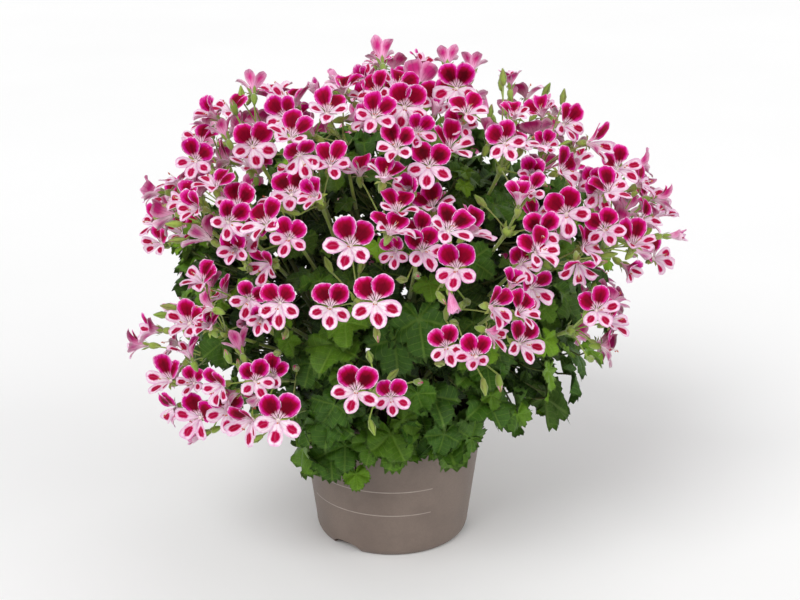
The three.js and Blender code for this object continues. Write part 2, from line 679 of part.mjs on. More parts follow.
function trussSolid(truss) {
  const body = new Body();
  const turn = new THREE.Quaternion().setFromUnitVectors(KNOB.normals[0], truss.out.clone().negate());
  const onKnob = (corner) => along(truss.hub, corner.clone().applyQuaternion(turn), KNOB_RADIUS);
  const corners = body.ring(KNOB.corners.map(onKnob));
  const faces = KNOB.faces.map((face) => face.map((corner) => corners[corner]));
  const normals = KNOB.normals.map((normal) => normal.clone().applyQuaternion(turn));
  const foot = along(truss.foot, truss.out, GAP);
  const neck = along(truss.hub, truss.out, -KNOB_RADIUS * 2);
  const down = truss.out.clone().negate();
  endStalk(body, stalk(body, faces[0], [neck, foot], [PEDUNCLE_RADIUS, PEDUNCLE_RADIUS], 3, down));
  // Each bloom takes the face that looks its way; two change faces wherever that turns their pedicels less
  const ways = truss.blooms.map((bloom) => towards(truss.hub, pedicel(truss.hub, bloom.at, bloom.face)[1]));
  const fits = ways.map((way) => {
    return normals.map((normal, face) => (face === 0 ? -9 : normal.dot(way)));
  });
  const taken = truss.blooms.map((_, number) => number + 1);
  for (let round = 0; round < 4; round += 1) {
    for (let number = 0; number < taken.length; number += 1) {
      for (let face = 1; face < faces.length; face += 1) {
        const holder = taken.indexOf(face);
        const now = fits[number][taken[number]] + (holder < 0 ? 0 : fits[holder][face]);
        const then = fits[number][face] + (holder < 0 ? 0 : fits[holder][taken[number]]);
        if (then > now + 1e-6) {
          if (holder >= 0) taken[holder] = taken[number];
          taken[number] = face;
        }
      }
    }
  }
  const used = new Set([0, ...taken]);
  // Blooms that press on each other each get a pedicel with a closed root inside the knob, to be fused on
  const alone = truss.blooms.map((bloom, number) => {
    const own = new Body();
    const way = ways[number];
    const root = own.ring(circle(along(truss.hub, way, KNOB_RADIUS * 0.4), way, bloom.up, 0.9, 3));
    own.close(root);
    addBloom(own, root, bloom, truss.hub);
    return own.solid();
  });
  const ball = new THREE.IcosahedronGeometry(KNOB_RADIUS * 1.6, 1);
  ball.translate(...truss.hub.toArray());
  const aroundKnob = solidOf(ball);
  const outside = alone.map((solid) => solid.subtract(aroundKnob));
  const pressed = truss.blooms.map((_, one) => {
    const fit = fits[one][taken[one]];
    const close = ways.some((way, two) => fits[two][taken[two]] > fit && way.dot(ways[one]) > CLOSEST_WAYS);
    if (fit < LEAST_FIT || close) return true;
    const meets = (other) => other.intersect(outside[one]).volume() > LEAST_CROSSING;
    return outside.some((other, two) => two !== one && meets(other));
  });
  truss.blooms.forEach((bloom, number) => {
    if (pressed[number]) used.delete(taken[number]);
    else addBloom(body, faces[taken[number]], bloom, truss.hub);
  });
  faces.forEach((face, place) => {
    if (!used.has(place)) body.faces.push(face);
  });
  return largest([body.solid(), ...alone.filter((_, number) => pressed[number])]);
}

// A leaf's outline round the top of its petiole: five toothed lobes and the cut where the petiole comes in,
// each corner by its turn from the tip, its share of the leaf's length and its height in the waved blade
const LEAF_CORNERS = [
  [180, 0.08, 0], [-140, 0.52, 1.3], [-102, 0.66, -1.6], [-70, 0.6, 1.6], [-38, 0.9, -1.4],
  [0, 1, 1.2], [38, 0.9, -1.8], [70, 0.6, 1.6], [102, 0.66, -1.6], [140, 0.52, 1.3],
];
const BLADE_HALF = 0.9;
const PETIOLE_RADIUS = 0.9;

function leafSolid(leaf) {
  const body = new Body();
  const { base, blade, normal, length, from } = leaf;
  const side = normal.clone().cross(blade);
  const under = along(along(base, blade, -5), normal, -4);
  const seat = along(base, normal, -BLADE_HALF);
  const bent = towards(from, seat).dot(normal) < 0.25;
  const path = bent ? [from, under, seat] : [from, seat];
  const radii = bent ? [1, PETIOLE_RADIUS, PETIOLE_RADIUS] : [1, PETIOLE_RADIUS];
  const top = stalk(body, null, path, radii, 3, normal, normal);
  const outline = LEAF_CORNERS.map(([turn, share, height]) => {
    const angle = THREE.MathUtils.degToRad(turn);
    const reach = share * length * 0.72;
    const out = along(along(base, blade, reach * Math.cos(angle)), side, reach * Math.sin(angle));
    return along(out, normal, height);
  });
  const rim = body.ring(outline);
  body.sleeve(top, rim);
  body.fan(rim, along(base, normal, BLADE_HALF));
  return body.solid();
}

// A shoot: its stem from the hole in the substrate, its branches and every leaf on its petiole
function shootSolid(shoot) {
  const start = new THREE.Vector3(1, 0, 0);
  const stem = new Body();
  const stops = [0, 0.5, 1].map((stop) => shoot.stem.getPoint(stop));
  const radii = [STEM_RADIUS, STEM_RADIUS * 0.85, STEM_RADIUS * 0.8];
  endStalk(stem, stalk(stem, null, stops, radii, STEM_SIDES, shoot.stem.getTangent(1), start));
  const branches = shoot.branches.map((branch) => {
    const body = new Body();
    const points = [0, 0.5, 1].map((stop) => branch.getPoint(stop));
    const side = UP.clone().cross(branch.getTangent(1));
    endStalk(body, stalk(body, null, points, [2.4, 2.1, 1.7], 3, branch.getTangent(1), side));
    return body.solid();
  });
  return largest([stem.solid(), ...branches, ...shoot.leaves.map(leafSolid)]);
}

function geometryOf(solid) {
  const { vertProperties, triVerts } = solid.getMesh();
  const geometry = new THREE.BufferGeometry();
  geometry.setAttribute("position", new THREE.BufferAttribute(new Float32Array(vertProperties), 3));
  geometry.setIndex(new THREE.BufferAttribute(new Uint32Array(triVerts), 1));
  geometry.computeVertexNormals();
  return geometry;
}

function solidOf(geometry) {
  geometry.deleteAttribute("normal");
  geometry.deleteAttribute("uv");
  const merged = mergeVertices(geometry, 1e-4);
  const vertProperties = new Float32Array(merged.attributes.position.array);
  const triVerts = new Uint32Array(merged.index.array);
  return new wasm.Manifold(new wasm.Mesh({ numProp: 3, vertProperties, triVerts }));
}

// A round solid turned about the pot's axis from its outline of radius and height
function turned(outline, sides) {
  const profile = outline.map(([radius, height]) => new THREE.Vector2(radius, height));
  const lathe = new THREE.LatheGeometry(profile, sides);
  lathe.rotateX(Math.PI / 2);
  return solidOf(lathe);
}

const POT_SIDES = 24;

// The pot: a thin tapered wall with a turned lip, a rounded foot with arched notches, and drain holes
function potSolid() {
  const rimFoot = POT_HEIGHT - RIM_DEPTH;
  const cup = turned([
    [0, 0], [FOOT_RADIUS - FOOT_ROUND * 0.55, 0], [FOOT_RADIUS - 1.2, FOOT_ROUND * 0.45],
    [wallRadius(FOOT_ROUND), FOOT_ROUND], [wallRadius(rimFoot), rimFoot], [RIM_RADIUS - 0.5, rimFoot + 1],
    [RIM_RADIUS, POT_HEIGHT], [RIM_RADIUS - RIM_LIP, POT_HEIGHT], [wallRadius(rimFoot) - WALL, rimFoot - 3],
    [wallRadius(CORNER_FILL) - WALL, CORNER_FILL + 3], [FOOT_RADIUS - CORNER_FILL - 2, FLOOR], [0, FLOOR],
  ], POT_SIDES);
  const cutters = [];
  for (let notch = 0; notch < NOTCH_COUNT; notch += 1) {
    const arch = new THREE.Shape();
    arch.moveTo(-NOTCH_WIDTH / 2, -1);
    arch.lineTo(NOTCH_WIDTH / 2, -1);
    arch.lineTo(NOTCH_WIDTH / 2, NOTCH_HEIGHT * 0.45);
    arch.quadraticCurveTo(NOTCH_WIDTH * 0.4, NOTCH_HEIGHT, 0, NOTCH_HEIGHT);
    arch.quadraticCurveTo(-NOTCH_WIDTH * 0.4, NOTCH_HEIGHT, -NOTCH_WIDTH / 2, NOTCH_HEIGHT * 0.45);
    const settings = { depth: NOTCH_DEPTH * 2, bevelEnabled: false, curveSegments: 2 };
    const cutter = new THREE.ExtrudeGeometry(arch, settings);
    cutter.rotateX(Math.PI / 2);
    cutter.translate(0, NOTCH_DEPTH - FOOT_RADIUS, 0);
    cutter.rotateZ(THREE.MathUtils.degToRad(NOTCH_TURN + 90 + (360 * notch) / NOTCH_COUNT));
    cutters.push(solidOf(cutter));
    const turn = THREE.MathUtils.degToRad(NOTCH_TURN + (360 * (notch + 0.5)) / NOTCH_COUNT);
    const drain = new THREE.CylinderGeometry(DRAIN_RADIUS, DRAIN_RADIUS, FLOOR * 4, 6);
    drain.rotateX(Math.PI / 2);
    drain.translate(DRAIN_RING * Math.cos(turn), DRAIN_RING * Math.sin(turn), 0);
    cutters.push(solidOf(drain));
  }
  return cup.subtract(wasm.Manifold.union(cutters));
}

// The substrate: it fills the pot to just under the lip, with a plain hole for each stem
function soilSolid() {
  const inner = (height) => wallRadius(height) - WALL - GAP * 1.2;
  const fill = turned([
    [0, FLOOR + GAP],
    [FOOT_RADIUS - CORNER_FILL - 2.5, FLOOR + GAP],
    [inner(CORNER_FILL), CORNER_FILL + 3.4],
    [inner(SOIL_TOP) - 0.4, SOIL_TOP - 2],
    [0, SOIL_TOP + SOIL_CROWN],
  ], POT_SIDES);
  const holes = shoots.map((shoot) => {
    const body = new Body();
    const way = towards(shoot.base, shoot.stem.getPoint(0.5));
    const path = [along(shoot.base, way, -GAP), along(shoot.base, way, STEM_DEPTH * 2)];
    const start = new THREE.Vector3(1, 0, 0);
    endStalk(body, stalk(body, null, path, [HOLE_RADIUS, HOLE_RADIUS], STEM_SIDES, way, start));
    return body.solid();
  });
  return fill.subtract(wasm.Manifold.union(holes));
}

const plant = new THREE.Group();

function add(name, solid, colour, roughness) {
  const material = new THREE.MeshStandardMaterial({ color: colour, roughness, metalness: 0 });
  const mesh = new THREE.Mesh(geometryOf(solid), material);
  mesh.name = name;
  plant.add(mesh);
}

add("pot", potSolid(), 0x7d6f66, 0.45);
add("substrate", soilSolid(), 0x2a1d14, 0.95);
shoots.forEach((shoot) => add(shoot.name, shootSolid(shoot), 0x3d6b26, 0.6));
trusses.forEach((truss) => add(`truss_${truss.name}`, trussSolid(truss), 0xd992b8, 0.55));

export default plant;
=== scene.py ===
import math
from functools import partial
from itertools import count
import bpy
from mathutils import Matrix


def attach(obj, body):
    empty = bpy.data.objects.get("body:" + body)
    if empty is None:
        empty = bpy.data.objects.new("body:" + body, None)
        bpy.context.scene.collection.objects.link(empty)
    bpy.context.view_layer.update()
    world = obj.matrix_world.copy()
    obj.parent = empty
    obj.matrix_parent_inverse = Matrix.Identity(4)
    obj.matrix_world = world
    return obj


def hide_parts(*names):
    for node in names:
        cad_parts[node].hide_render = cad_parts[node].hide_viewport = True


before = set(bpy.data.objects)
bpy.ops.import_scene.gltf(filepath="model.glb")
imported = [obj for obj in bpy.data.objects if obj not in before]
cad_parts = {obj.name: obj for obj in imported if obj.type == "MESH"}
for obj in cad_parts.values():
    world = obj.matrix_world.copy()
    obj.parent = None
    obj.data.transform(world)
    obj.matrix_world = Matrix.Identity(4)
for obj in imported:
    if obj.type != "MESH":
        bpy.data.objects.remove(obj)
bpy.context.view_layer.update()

from types import SimpleNamespace

import bmesh
import bpy
from mathutils import Matrix, Quaternion, Vector
from mathutils.kdtree import KDTree


# The pot is one moulded piece of taupe polypropylene, tapered so that pots stack. A turned lip stiffens
# its rim, its foot is rounded, and three arched notches under the foot let water drain away.
# Two thin pale rules are printed on its near side.
MM = 0.001
POT_HEIGHT = 125
RIM_RADIUS = 84
RIM_DEPTH = 7
# The lip's section, each point by how far in from the rim and how far up from the lip's foot it lies
LIP_SECTION = ((1.6, 0.3), (0.7, 1), (0.3, 2), (0.1, 5.6), (0.4, 6.6), (1.1, 7), (2.1, 6.9), (2.6, 6.2))
WALL = 1.8
WALL_SLOPE = 0.13
WALL_STEPS = 16
WALL_MIDDLE = 60
FOOT_RADIUS = 65.5
FOOT_ROUND = 10
FOOT_ROUND_WIDTH = 5.5
FOOT_STEPS = 8
# Rings of the flat underside, by how far in from the foot's edge they lie
FOOT_RINGS = (14, 11, 9, 7)
FLOOR = 3
CORNER_FILL = 11
LIP_UNDERCUT = 3
NOTCH_COUNT = 3
NOTCH_WIDTH = 30
NOTCH_HEIGHT = 8
NOTCH_SPRING = 1
NOTCH_DEPTH = 9
NOTCH_TURN = -128
NOTCH_STEPS = 14
DRAIN_RADIUS = 4
DRAIN_RING = 44
POT_SIDES = 240
RULE_HEIGHTS = (41.5, 65)
RULE_TURNS = (-158, -62)
# A rule's ink fades between these distances from its middle, in metres, and its ends over this turn
RULE_EDGES = (0.00055, 0.0003)
RULE_END = 0.01
CRISP_ANGLE = 50


def placed(name, data):
    """An object in the scene that shows this mesh, lamp or camera."""
    made = bpy.data.objects.new(name, data)
    bpy.context.scene.collection.objects.link(made)
    return made


def shown(bm, name, materials=()):
    """An object from a mesh in millimetres."""
    bmesh.ops.scale(bm, vec=(MM, MM, MM), verts=bm.verts)
    mesh = bpy.data.meshes.new(name)
    bm.to_mesh(mesh)
    bm.free()
    for material in materials:
        mesh.materials.append(material)
    return placed(name, mesh)


def finished(bm, name, materials, node):
    """Makes a piece, which stands for this node of the frame."""
    piece = shown(bm, name, materials)
    piece.data.shade_smooth()
    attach(piece, "root")
    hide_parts(node)
    return piece


def feed(socket, value):
    """Links the input of a shader node to an output, or sets it."""
    if isinstance(value, bpy.types.NodeSocket):
        socket.id_data.links.new(value, socket)
    else:
        socket.default_value = value


def put(tree, kind, settings=None, **inputs):
    """Adds a shader node with these settings, and feeds the inputs of these names."""
    made = tree.nodes.new("ShaderNode" + kind)
    for name, value in (settings or {}).items():
        setattr(made, name, value)
    for name, value in inputs.items():
        feed(made.inputs[name.replace("_", " ")], value)
    return made


def combined(kind, settings, fed, output):
    """An output of a node whose inputs at these places are fed, in the tree of the first that is linked."""
    tree = next(value.id_data for value in fed.values() if isinstance(value, bpy.types.NodeSocket))
    made = put(tree, kind, settings)
    for place, value in fed.items():
        feed(made.inputs[place], value)
    return made.outputs[output]


def maths(operation, *values):
    return combined("Math", {"operation": operation}, dict(enumerate(values)), 0)


def vector_maths(operation, *values, output="Vector"):
    return combined("VectorMath", {"operation": operation}, dict(enumerate(values)), output)


def times(value, other):
    return maths("MULTIPLY", value, other)


def times_plus(value, other, more):
    return maths("MULTIPLY_ADD", value, other, more)


def mixed(share, low, high):
    """A colour that goes from one to another as the share goes from 0 to 1."""
    return combined("Mix", {"data_type": "RGBA"}, {0: share, 6: low, 7: high}, 2)


def rise(value, low, high):
    """Goes smoothly from 0 to 1 as the value goes from low to high, or from high to low."""
    settings = {"interpolation_type": "SMOOTHSTEP"}
    return combined("MapRange", settings, {"Value": value, "From Min": low, "From Max": high}, "Result")


def parts_of(vector):
    return put(vector.id_data, "SeparateXYZ", Vector=vector).outputs


def rgb(red, green, blue):
    """A linear colour from its 0 to 255 values on a screen."""
    parts = [value / 255 for value in (red, green, blue)]
    return [part / 12.92 if part < 0.04045 else ((part + 0.055) / 1.055) ** 2.4 for part in parts] + [1]


def new_group(name, inputs, masks):
    """An empty shader node group, with its tree, what comes in and the masks that go out."""
    tree = bpy.data.node_groups.new(name, "ShaderNodeTree")
    for label, kind in inputs.items():
        tree.interface.new_socket(label, in_out="INPUT", socket_type="NodeSocket" + kind)
    for label in masks:
        tree.interface.new_socket(label, in_out="OUTPUT", socket_type="NodeSocketFloat")
    return tree, tree.nodes.new("NodeGroupInput").outputs, tree.nodes.new("NodeGroupOutput").inputs


def use_group(tree, group, **inputs):
    """The outputs of a group that is placed in a tree."""
    return put(tree, "Group", {"node_tree": group}, **inputs).outputs


# Uneven skin, which every surface here has: a broad patchiness and a fine grain, both from 0 to 1
uneven, ins, outs = new_group(
    "uneven_skin", {"Patch Size": "Float", "Grain Size": "Float"}, ("Patches", "Grain")
)
where = put(uneven, "TexCoord").outputs["Object"]
for label, size, detail in (("Patches", "Patch Size", 3), ("Grain", "Grain Size", 4)):
    scale = maths("DIVIDE", 1, ins[size])
    noise = put(uneven, "TexNoise", Vector=where, Detail=detail, Roughness=0.6, Scale=scale)
    feed(outs[label], rise(noise.outputs["Fac"], 0.3, 0.7))


def new_material(name, viewport, patch, grain):
    """A material, its node tree, and the patches and grain of its skin, of these sizes in metres."""
    material = bpy.data.materials.new(name)
    material.use_nodes = True
    material.diffuse_color = viewport
    tree = material.node_tree
    skin = use_group(tree, uneven, Patch_Size=patch, Grain_Size=grain)
    return material, tree, skin["Patches"], skin["Grain"]


def dressed(material, colour, rough, relief=None, **inputs):
    """Feeds a material's shader. The relief is a height with its strength and its depth."""
    fed = {"Base Color": colour, "Roughness": rough, **inputs}
    if relief:
        height, strength, depth = relief
        bump = put(material.node_tree, "Bump", Height=height, Strength=strength, Distance=depth)
        fed["Normal"] = bump.outputs[0]
    for name, value in fed.items():
        feed(material.node_tree.nodes["Principled BSDF"].inputs[name.replace("_", " ")], value)
    return material


def at_turn(out, turn, height):
    """The spot this far out from the pot's axis, at this turn about it and this high."""
    return Vector((out * math.cos(turn), out * math.sin(turn), height))


def wall_radius(height):
    return FOOT_RADIUS + WALL_SLOPE * height


def pot_outline():
    """The radius and height of the pot's section, from under its middle round to the middle of its floor."""
    lip_foot = POT_HEIGHT - RIM_DEPTH
    outline = [(0, 0), (DRAIN_RING, 0)]
    outline += [(FOOT_RADIUS - inward, 0) for inward in FOOT_RINGS]
    for step in range(1, FOOT_STEPS + 1):
        angle = step / FOOT_STEPS * math.pi / 2
        out = wall_radius(FOOT_ROUND) - FOOT_ROUND_WIDTH * (1 - math.sin(angle))
        outline.append((out, FOOT_ROUND * (1 - math.cos(angle))))
    for step in range(1, WALL_STEPS + 1):
        height = FOOT_ROUND + (lip_foot - FOOT_ROUND) * step / WALL_STEPS
        outline.append((wall_radius(height), height))
    outline += [(RIM_RADIUS - inward, lip_foot + up) for inward, up in LIP_SECTION]
    outline += [(wall_radius(lip_foot) - WALL, lip_foot - LIP_UNDERCUT)]
    outline += [(wall_radius(WALL_MIDDLE) - WALL, WALL_MIDDLE)]
    outline += [(wall_radius(CORNER_FILL) - WALL, CORNER_FILL + 3)]
    outline += [(FOOT_RADIUS - CORNER_FILL - 2, FLOOR), (DRAIN_RING, FLOOR), (0, FLOOR)]
    return outline


def turned(bm, outline, sides, shape=None):
    """A round solid from its section, which starts and ends on the axis. shape may move each point."""
    rings = []
    for radius, height in outline:
        ring = []
        for side in range(sides if radius else 1):
            turn = math.tau * side / sides
            out, up = shape(radius, turn, height) if shape else (radius, height)
            ring.append(bm.verts.new(at_turn(out, turn, up)))
        rings.append(ring)
    for low, high in zip(rings, rings[1:]):
        for side in range(sides):
            stops = ((low, side), (low, side + 1), (high, side + 1), (high, side))
            corners = [ring[place % len(ring)] for ring, place in stops]
            bm.faces.new(list(dict.fromkeys(corners)))


def arch_cutter(bm, turn):
    """A block that cuts one arched notch through the foot."""
    half = NOTCH_WIDTH / 2
    arch = [(-half, -1), (half, -1)]
    for step in range(NOTCH_STEPS + 1):
        angle = step / NOTCH_STEPS * math.pi
        up = NOTCH_SPRING + (NOTCH_HEIGHT - NOTCH_SPRING) * math.sin(angle)
        arch.append((half * math.cos(angle), up))
    rings = []
    for out in (FOOT_RADIUS - NOTCH_DEPTH, FOOT_RADIUS + NOTCH_DEPTH):
        rings.append([bm.verts.new((out, across, up)) for across, up in arch])
    for place in range(len(arch)):
        after = (place + 1) % len(arch)
        bm.faces.new((rings[0][place], rings[0][after], rings[1][after], rings[1][place]))
    bm.faces.new(rings[0][::-1])
    bm.faces.new(rings[1])
    corners = rings[0] + rings[1]
    bmesh.ops.rotate(bm, verts=corners, cent=(0, 0, 0), matrix=Matrix.Rotation(turn, 3, "Z"))


def pot_material():
    """Satin taupe plastic with a fine moulded grain, faint flow marks, and the two pale printed rules."""
    material, tree, patches, grain = new_material("pot_plastic", (0.19, 0.14, 0.12, 1), 0.03, 0.0006)
    fine = use_group(tree, uneven, Patch_Size=0.006, Grain_Size=0.0015)
    body = mixed(patches, rgb(117, 102, 93), rgb(129, 114, 104))
    body = mixed(times(fine["Grain"], 0.25), body, rgb(104, 90, 81))
    spot = parts_of(put(tree, "TexCoord").outputs["Object"])
    turn = maths("ARCTAN2", spot["Y"], spot["X"])
    offs = [maths("ABSOLUTE", maths("SUBTRACT", spot["Z"], height * MM)) for height in RULE_HEIGHTS]
    lines = maths("MAXIMUM", *(rise(off, *RULE_EDGES) for off in offs))
    for degrees, way in zip(RULE_TURNS, (1, -1)):
        edge = math.radians(degrees)
        lines = times(lines, rise(turn, edge, edge + RULE_END * way))
    flat = put(tree, "CombineXYZ", X=spot["X"], Y=spot["Y"]).outputs[0]
    out = vector_maths("LENGTH", flat, output="Value")
    outside = maths("SUBTRACT", out, (FOOT_RADIUS - 0.8) * MM)
    outside = maths("SUBTRACT", outside, times(spot["Z"], WALL_SLOPE))
    lines = times(lines, rise(outside, 0, 0.0003))
    worn = times(lines, times_plus(fine["Patches"], 0.25, 0.5))
    colour = mixed(worn, body, rgb(188, 176, 168))
    return dressed(material, colour, times_plus(patches, 0.12, 0.4), (grain, 0.25, 0.0002))


bm = bmesh.new()
turned(bm, pot_outline(), POT_SIDES)
pot = finished(bm, "pot_moulding", [pot_material()], "pot")
bm = bmesh.new()
for hole in range(NOTCH_COUNT):
    arch_cutter(bm, math.radians(NOTCH_TURN + 360 * hole / NOTCH_COUNT))
    turn = math.radians(NOTCH_TURN + 360 * (hole + 0.5) / NOTCH_COUNT)
    middle = Matrix.Translation(at_turn(DRAIN_RING, turn, 0))
    drill = {"segments": 32, "radius1": DRAIN_RADIUS, "radius2": DRAIN_RADIUS, "depth": FLOOR * 4}
    bmesh.ops.create_cone(bm, cap_ends=True, matrix=middle, **drill)
bmesh.ops.recalc_face_normals(bm, faces=bm.faces)
drills = shown(bm, "drills")
drilled = pot.modifiers.new("drain_holes", "BOOLEAN")
drilled.object = drills
drilled.solver = "EXACT"
solid = bpy.data.meshes.new_from_object(pot.evaluated_get(bpy.context.evaluated_depsgraph_get()))
pot.modifiers.clear()
pot.data = solid
bpy.data.objects.remove(drills)
crisp = pot.modifiers.new("crisp_edges", "EDGE_SPLIT")
crisp.split_angle = math.radians(CRISP_ANGLE)


# The substrate is a dark crumbly mix of peat and bark, pressed into the pot to just under its lip.
# It fills the pot all the way down, and the stems stand in it.
SOIL_TOP = 112
SOIL_CROWN = 3
SOIL_GAP = 0.4
SOIL_SIDES = 96
SOIL_RINGS = 26
CRUMBS = 420
# A pair such as these is the least of a measure and how much more it may be, from crumb to crumb
CRUMB_SIZE = (0.7, 1.5)
CRUMB_STRETCH = (0.6, 0.9)
CRUMB_LUMPS = 0.22


def scatter(item, kind):
    """An even spread of numbers from 0 to 1, the same on each run."""
    mix = ((item + 1) * 374761393 + (kind + 1) * 668265263) & 0xFFFFFFFF
    mix = ((mix ^ (mix >> 13)) * 1274126177) & 0xFFFFFFFF
    return (mix ^ (mix >> 16)) / 2**32


def within(limits, chance):
    """A measure between its least and that much more, as the chance goes from 0 to 1."""
    least, more = limits
    return least + more * chance


def unevenness(item, kind):
    """A direction with each part between -1 and 1."""
    return Vector([scatter(item, kind + part) * 2 - 1 for part in range(3)])


def soil_height(out, turn):
    """The lumpy top of the substrate at this place."""
    x, y = out * math.cos(turn), out * math.sin(turn)
    lumps = math.sin(x * 0.31 + 1.3 * math.sin(y * 0.23)) * math.sin(y * 0.27 + 1.1 * math.sin(x * 0.19))
    fine = math.sin(x * 1.1 + 2 * math.sin(y * 0.9)) * math.sin(y * 1.3 + 2 * math.sin(x * 0.8))
    crown = SOIL_CROWN * (1 - (out / RIM_RADIUS) ** 2)
    return SOIL_TOP - 1 + crown + 1.1 * lumps + 0.5 * fine


def lumpy(out, turn, height):
    return out, soil_height(out, turn) if height == SOIL_TOP else height


def crumb(bm, middle, size, item):
    """One crumb of peat or chip of bark."""
    stretch = Vector([within(CRUMB_STRETCH, scatter(item, 210 + part)) for part in range(3)])
    turn = Quaternion(unevenness(item, 220).normalized(), math.tau * scatter(item, 230)).to_matrix().to_4x4()
    form = Matrix.Translation(middle) @ turn @ Matrix.Diagonal((*(stretch * size), 1))
    made = bmesh.ops.create_icosphere(bm, subdivisions=1, radius=1, matrix=form)
    for number, corner in enumerate(made["verts"]):
        corner.co += unevenness(item * 13 + number, 240) * size * CRUMB_LUMPS


def soil_material():
    """Damp peat: nearly black brown with paler bark chips, rough and broken all over."""
    material, _, patches, grain = new_material("peat", (0.03, 0.02, 0.01, 1), 0.004, 0.0009)
    colour = mixed(patches, rgb(26, 17, 11), rgb(58, 40, 27))
    colour = mixed(maths("POWER", grain, 4), colour, rgb(96, 70, 50))
    return dressed(material, colour, 0.95, (grain, 0.9, 0.0008))


bm = bmesh.new()
low_edge, top_edge = (wall_radius(height) - WALL - SOIL_GAP for height in (CORNER_FILL, SOIL_TOP))
outline = [(0, FLOOR + 0.3), (FOOT_RADIUS - CORNER_FILL - 2.5, FLOOR + 0.3), (low_edge, CORNER_FILL + 3.4)]
outline += [(top_edge - 0.6, SOIL_TOP - 4)]
outline += [((top_edge - 1) * ring / SOIL_RINGS, SOIL_TOP) for ring in range(SOIL_RINGS, -1, -1)]
turned(bm, outline, SOIL_SIDES, lumpy)
for item in range(CRUMBS):
    out = (top_edge - 3) * math.sqrt(scatter(item, 200))
    turn = math.tau * scatter(item, 201)
    middle = at_turn(out, turn, soil_height(out, turn) + 0.2)
    crumb(bm, middle, within(CRUMB_SIZE, scatter(item, 202) ** 2), item)
finished(bm, "peat_mix", [soil_material()], "substrate")


# The plant's build: eight shoots rise from the substrate and branch, and each branch ends in a truss,
# a stalk with a knob on which several blooms and buds stand. The picture gives the place of each bloom
# on the near side, and the solids in the frame tell which of the places around it had room.
HEART = Vector((0, 0, 130))
BLOOM_SHELL = (Vector((5, 0, 232)), Vector((226, 196, 199)))
HUB_BELOW_BLOOMS = 38
PEDUNCLE = 62
UP = Vector((0, 0, 1))

# The picture is 800 by 600 pixels. Its camera stands at this place and looks this much down
EYE = Vector((6.8, -1400, 748))
VIEW_TILT = 21
VIEW_FOCAL = 1764
VIEW_MIDDLE = (400, 300)

# Where the throat of each bloom is seen, in pixels of the picture, truss by truss.
# The words say which way a bloom faces, if not out of its truss, and how far it is open, if not wholly
FRONT_TRUSSES = {
    "top_tip": [(382, 60, "away"), (375, 91), (398, 84)],
    "top_pair": [(342, 88), (319, 98, "out", "furled"), (328, 109), (350, 118, "right", "half")],
    "top_left": [(294, 101), (283, 118), (298, 116), (291, 134)],
    "left_spire": [(253, 90, "away"), (253, 146, "front"), (225, 135, "away"), (214, 116, "out", "half"),
                   (234, 108, "up", "bud")],
    "left_shoulder": [(206, 123), (199, 140), (195, 160)],
    "left_edge": [(176, 180), (184, 200), (159, 192, "left", "half"), (170, 215), (172, 206, "left", "bud"),
                  (175, 224, "left", "bud")],
    "left_inner": [(214, 183), (197, 208, "out", "half"), (236, 205), (230, 222)],
    "left_middle": [(207, 236), (235, 250, "out", "half")],
    "left_big": [(273, 200), (263, 222), (289, 238, "front"), (291, 192)],
    "inner_left": [(289, 169), (331, 163), (308, 174), (314, 196), (301, 158), (315, 149, "up", "bud"),
                   (310, 160, "up", "bud")],
    "centre_top": [(405, 107, "front"), (418, 83), (375, 115), (396, 146)],
    "centre_high": [(429, 166, "front"), (452, 146), (418, 132), (434, 116, "out", "furled")],
    "right_top": [(456, 88, "front"), (447, 64, "away"), (437, 101), (468, 110), (472, 70, "away"),
                  (461, 124)],
    "centre": [(385, 176), (359, 170), (398, 208), (392, 229)],
    "centre_low": [(394, 252), (421, 233), (424, 250), (434, 205), (437, 226)],
    "centre_right": [(450, 228), (471, 231), (456, 269, "front"), (450, 292, "down", "furled")],
    "middle_low": [(350, 245, "front"), (330, 307, "front"), (375, 302, "front")],
    "rim_front": [(356, 391, "front"), (391, 398, "front"), (418, 382, "out", "bud")],
    "left_row": [(200, 279), (222, 293), (249, 300), (279, 304), (262, 318, "out", "half")],
    "left_wing": [(187, 322), (207, 307), (208, 325), (163, 315, "left", "bud"), (157, 330, "left", "half"),
                  (170, 307, "left", "bud")],
    "left_tip": [(143, 345, "left", "half"), (190, 356, "away")],
    "left_low": [(218, 387), (256, 381), (240, 350, "away"), (271, 374), (258, 399), (228, 357, "up", "bud"),
                 (240, 367, "up", "bud")],
    "left_corner": [(197, 418), (227, 411), (172, 409), (167, 379), (192, 382)],
    "left_hanging": [(249, 422), (278, 420, "front"), (296, 368, "out", "bud")],
    "right_crown": [(505, 143, "front"), (525, 143), (534, 131), (515, 114), (503, 78, "up", "bud"),
                    (546, 91, "up", "bud")],
    "right_shoulder": [(541, 112), (568, 124), (545, 145), (578, 143), (593, 143), (563, 98, "up", "bud")],
    "right_edge": [(620, 167), (637, 166, "right", "half"), (611, 189), (601, 193), (642, 183)],
    "right_side": [(605, 229), (635, 242), (645, 218), (656, 199, "right", "half"),
                   (668, 236, "right", "furled")],
    "right_middle": [(566, 214, "front"), (587, 246), (578, 267, "down"), (608, 255, "right", "bud"),
                     (598, 263, "right", "bud")],
    "right_inner": [(539, 250), (541, 234), (558, 236), (524, 264)],
    "right_upper": [(536, 217), (519, 202, "up", "half"), (531, 190)],
    "right_low": [(522, 311), (534, 290), (495, 307), (511, 287, "up", "half"), (520, 273, "up", "bud")],
    "right_rim": [(492, 332), (523, 343), (446, 347, "front"), (475, 355, "front"),
                  (484, 386, "down", "bud"), (499, 382, "down", "bud")],
    "right_corner": [(598, 309), (612, 320), (607, 347), (613, 299)],
}

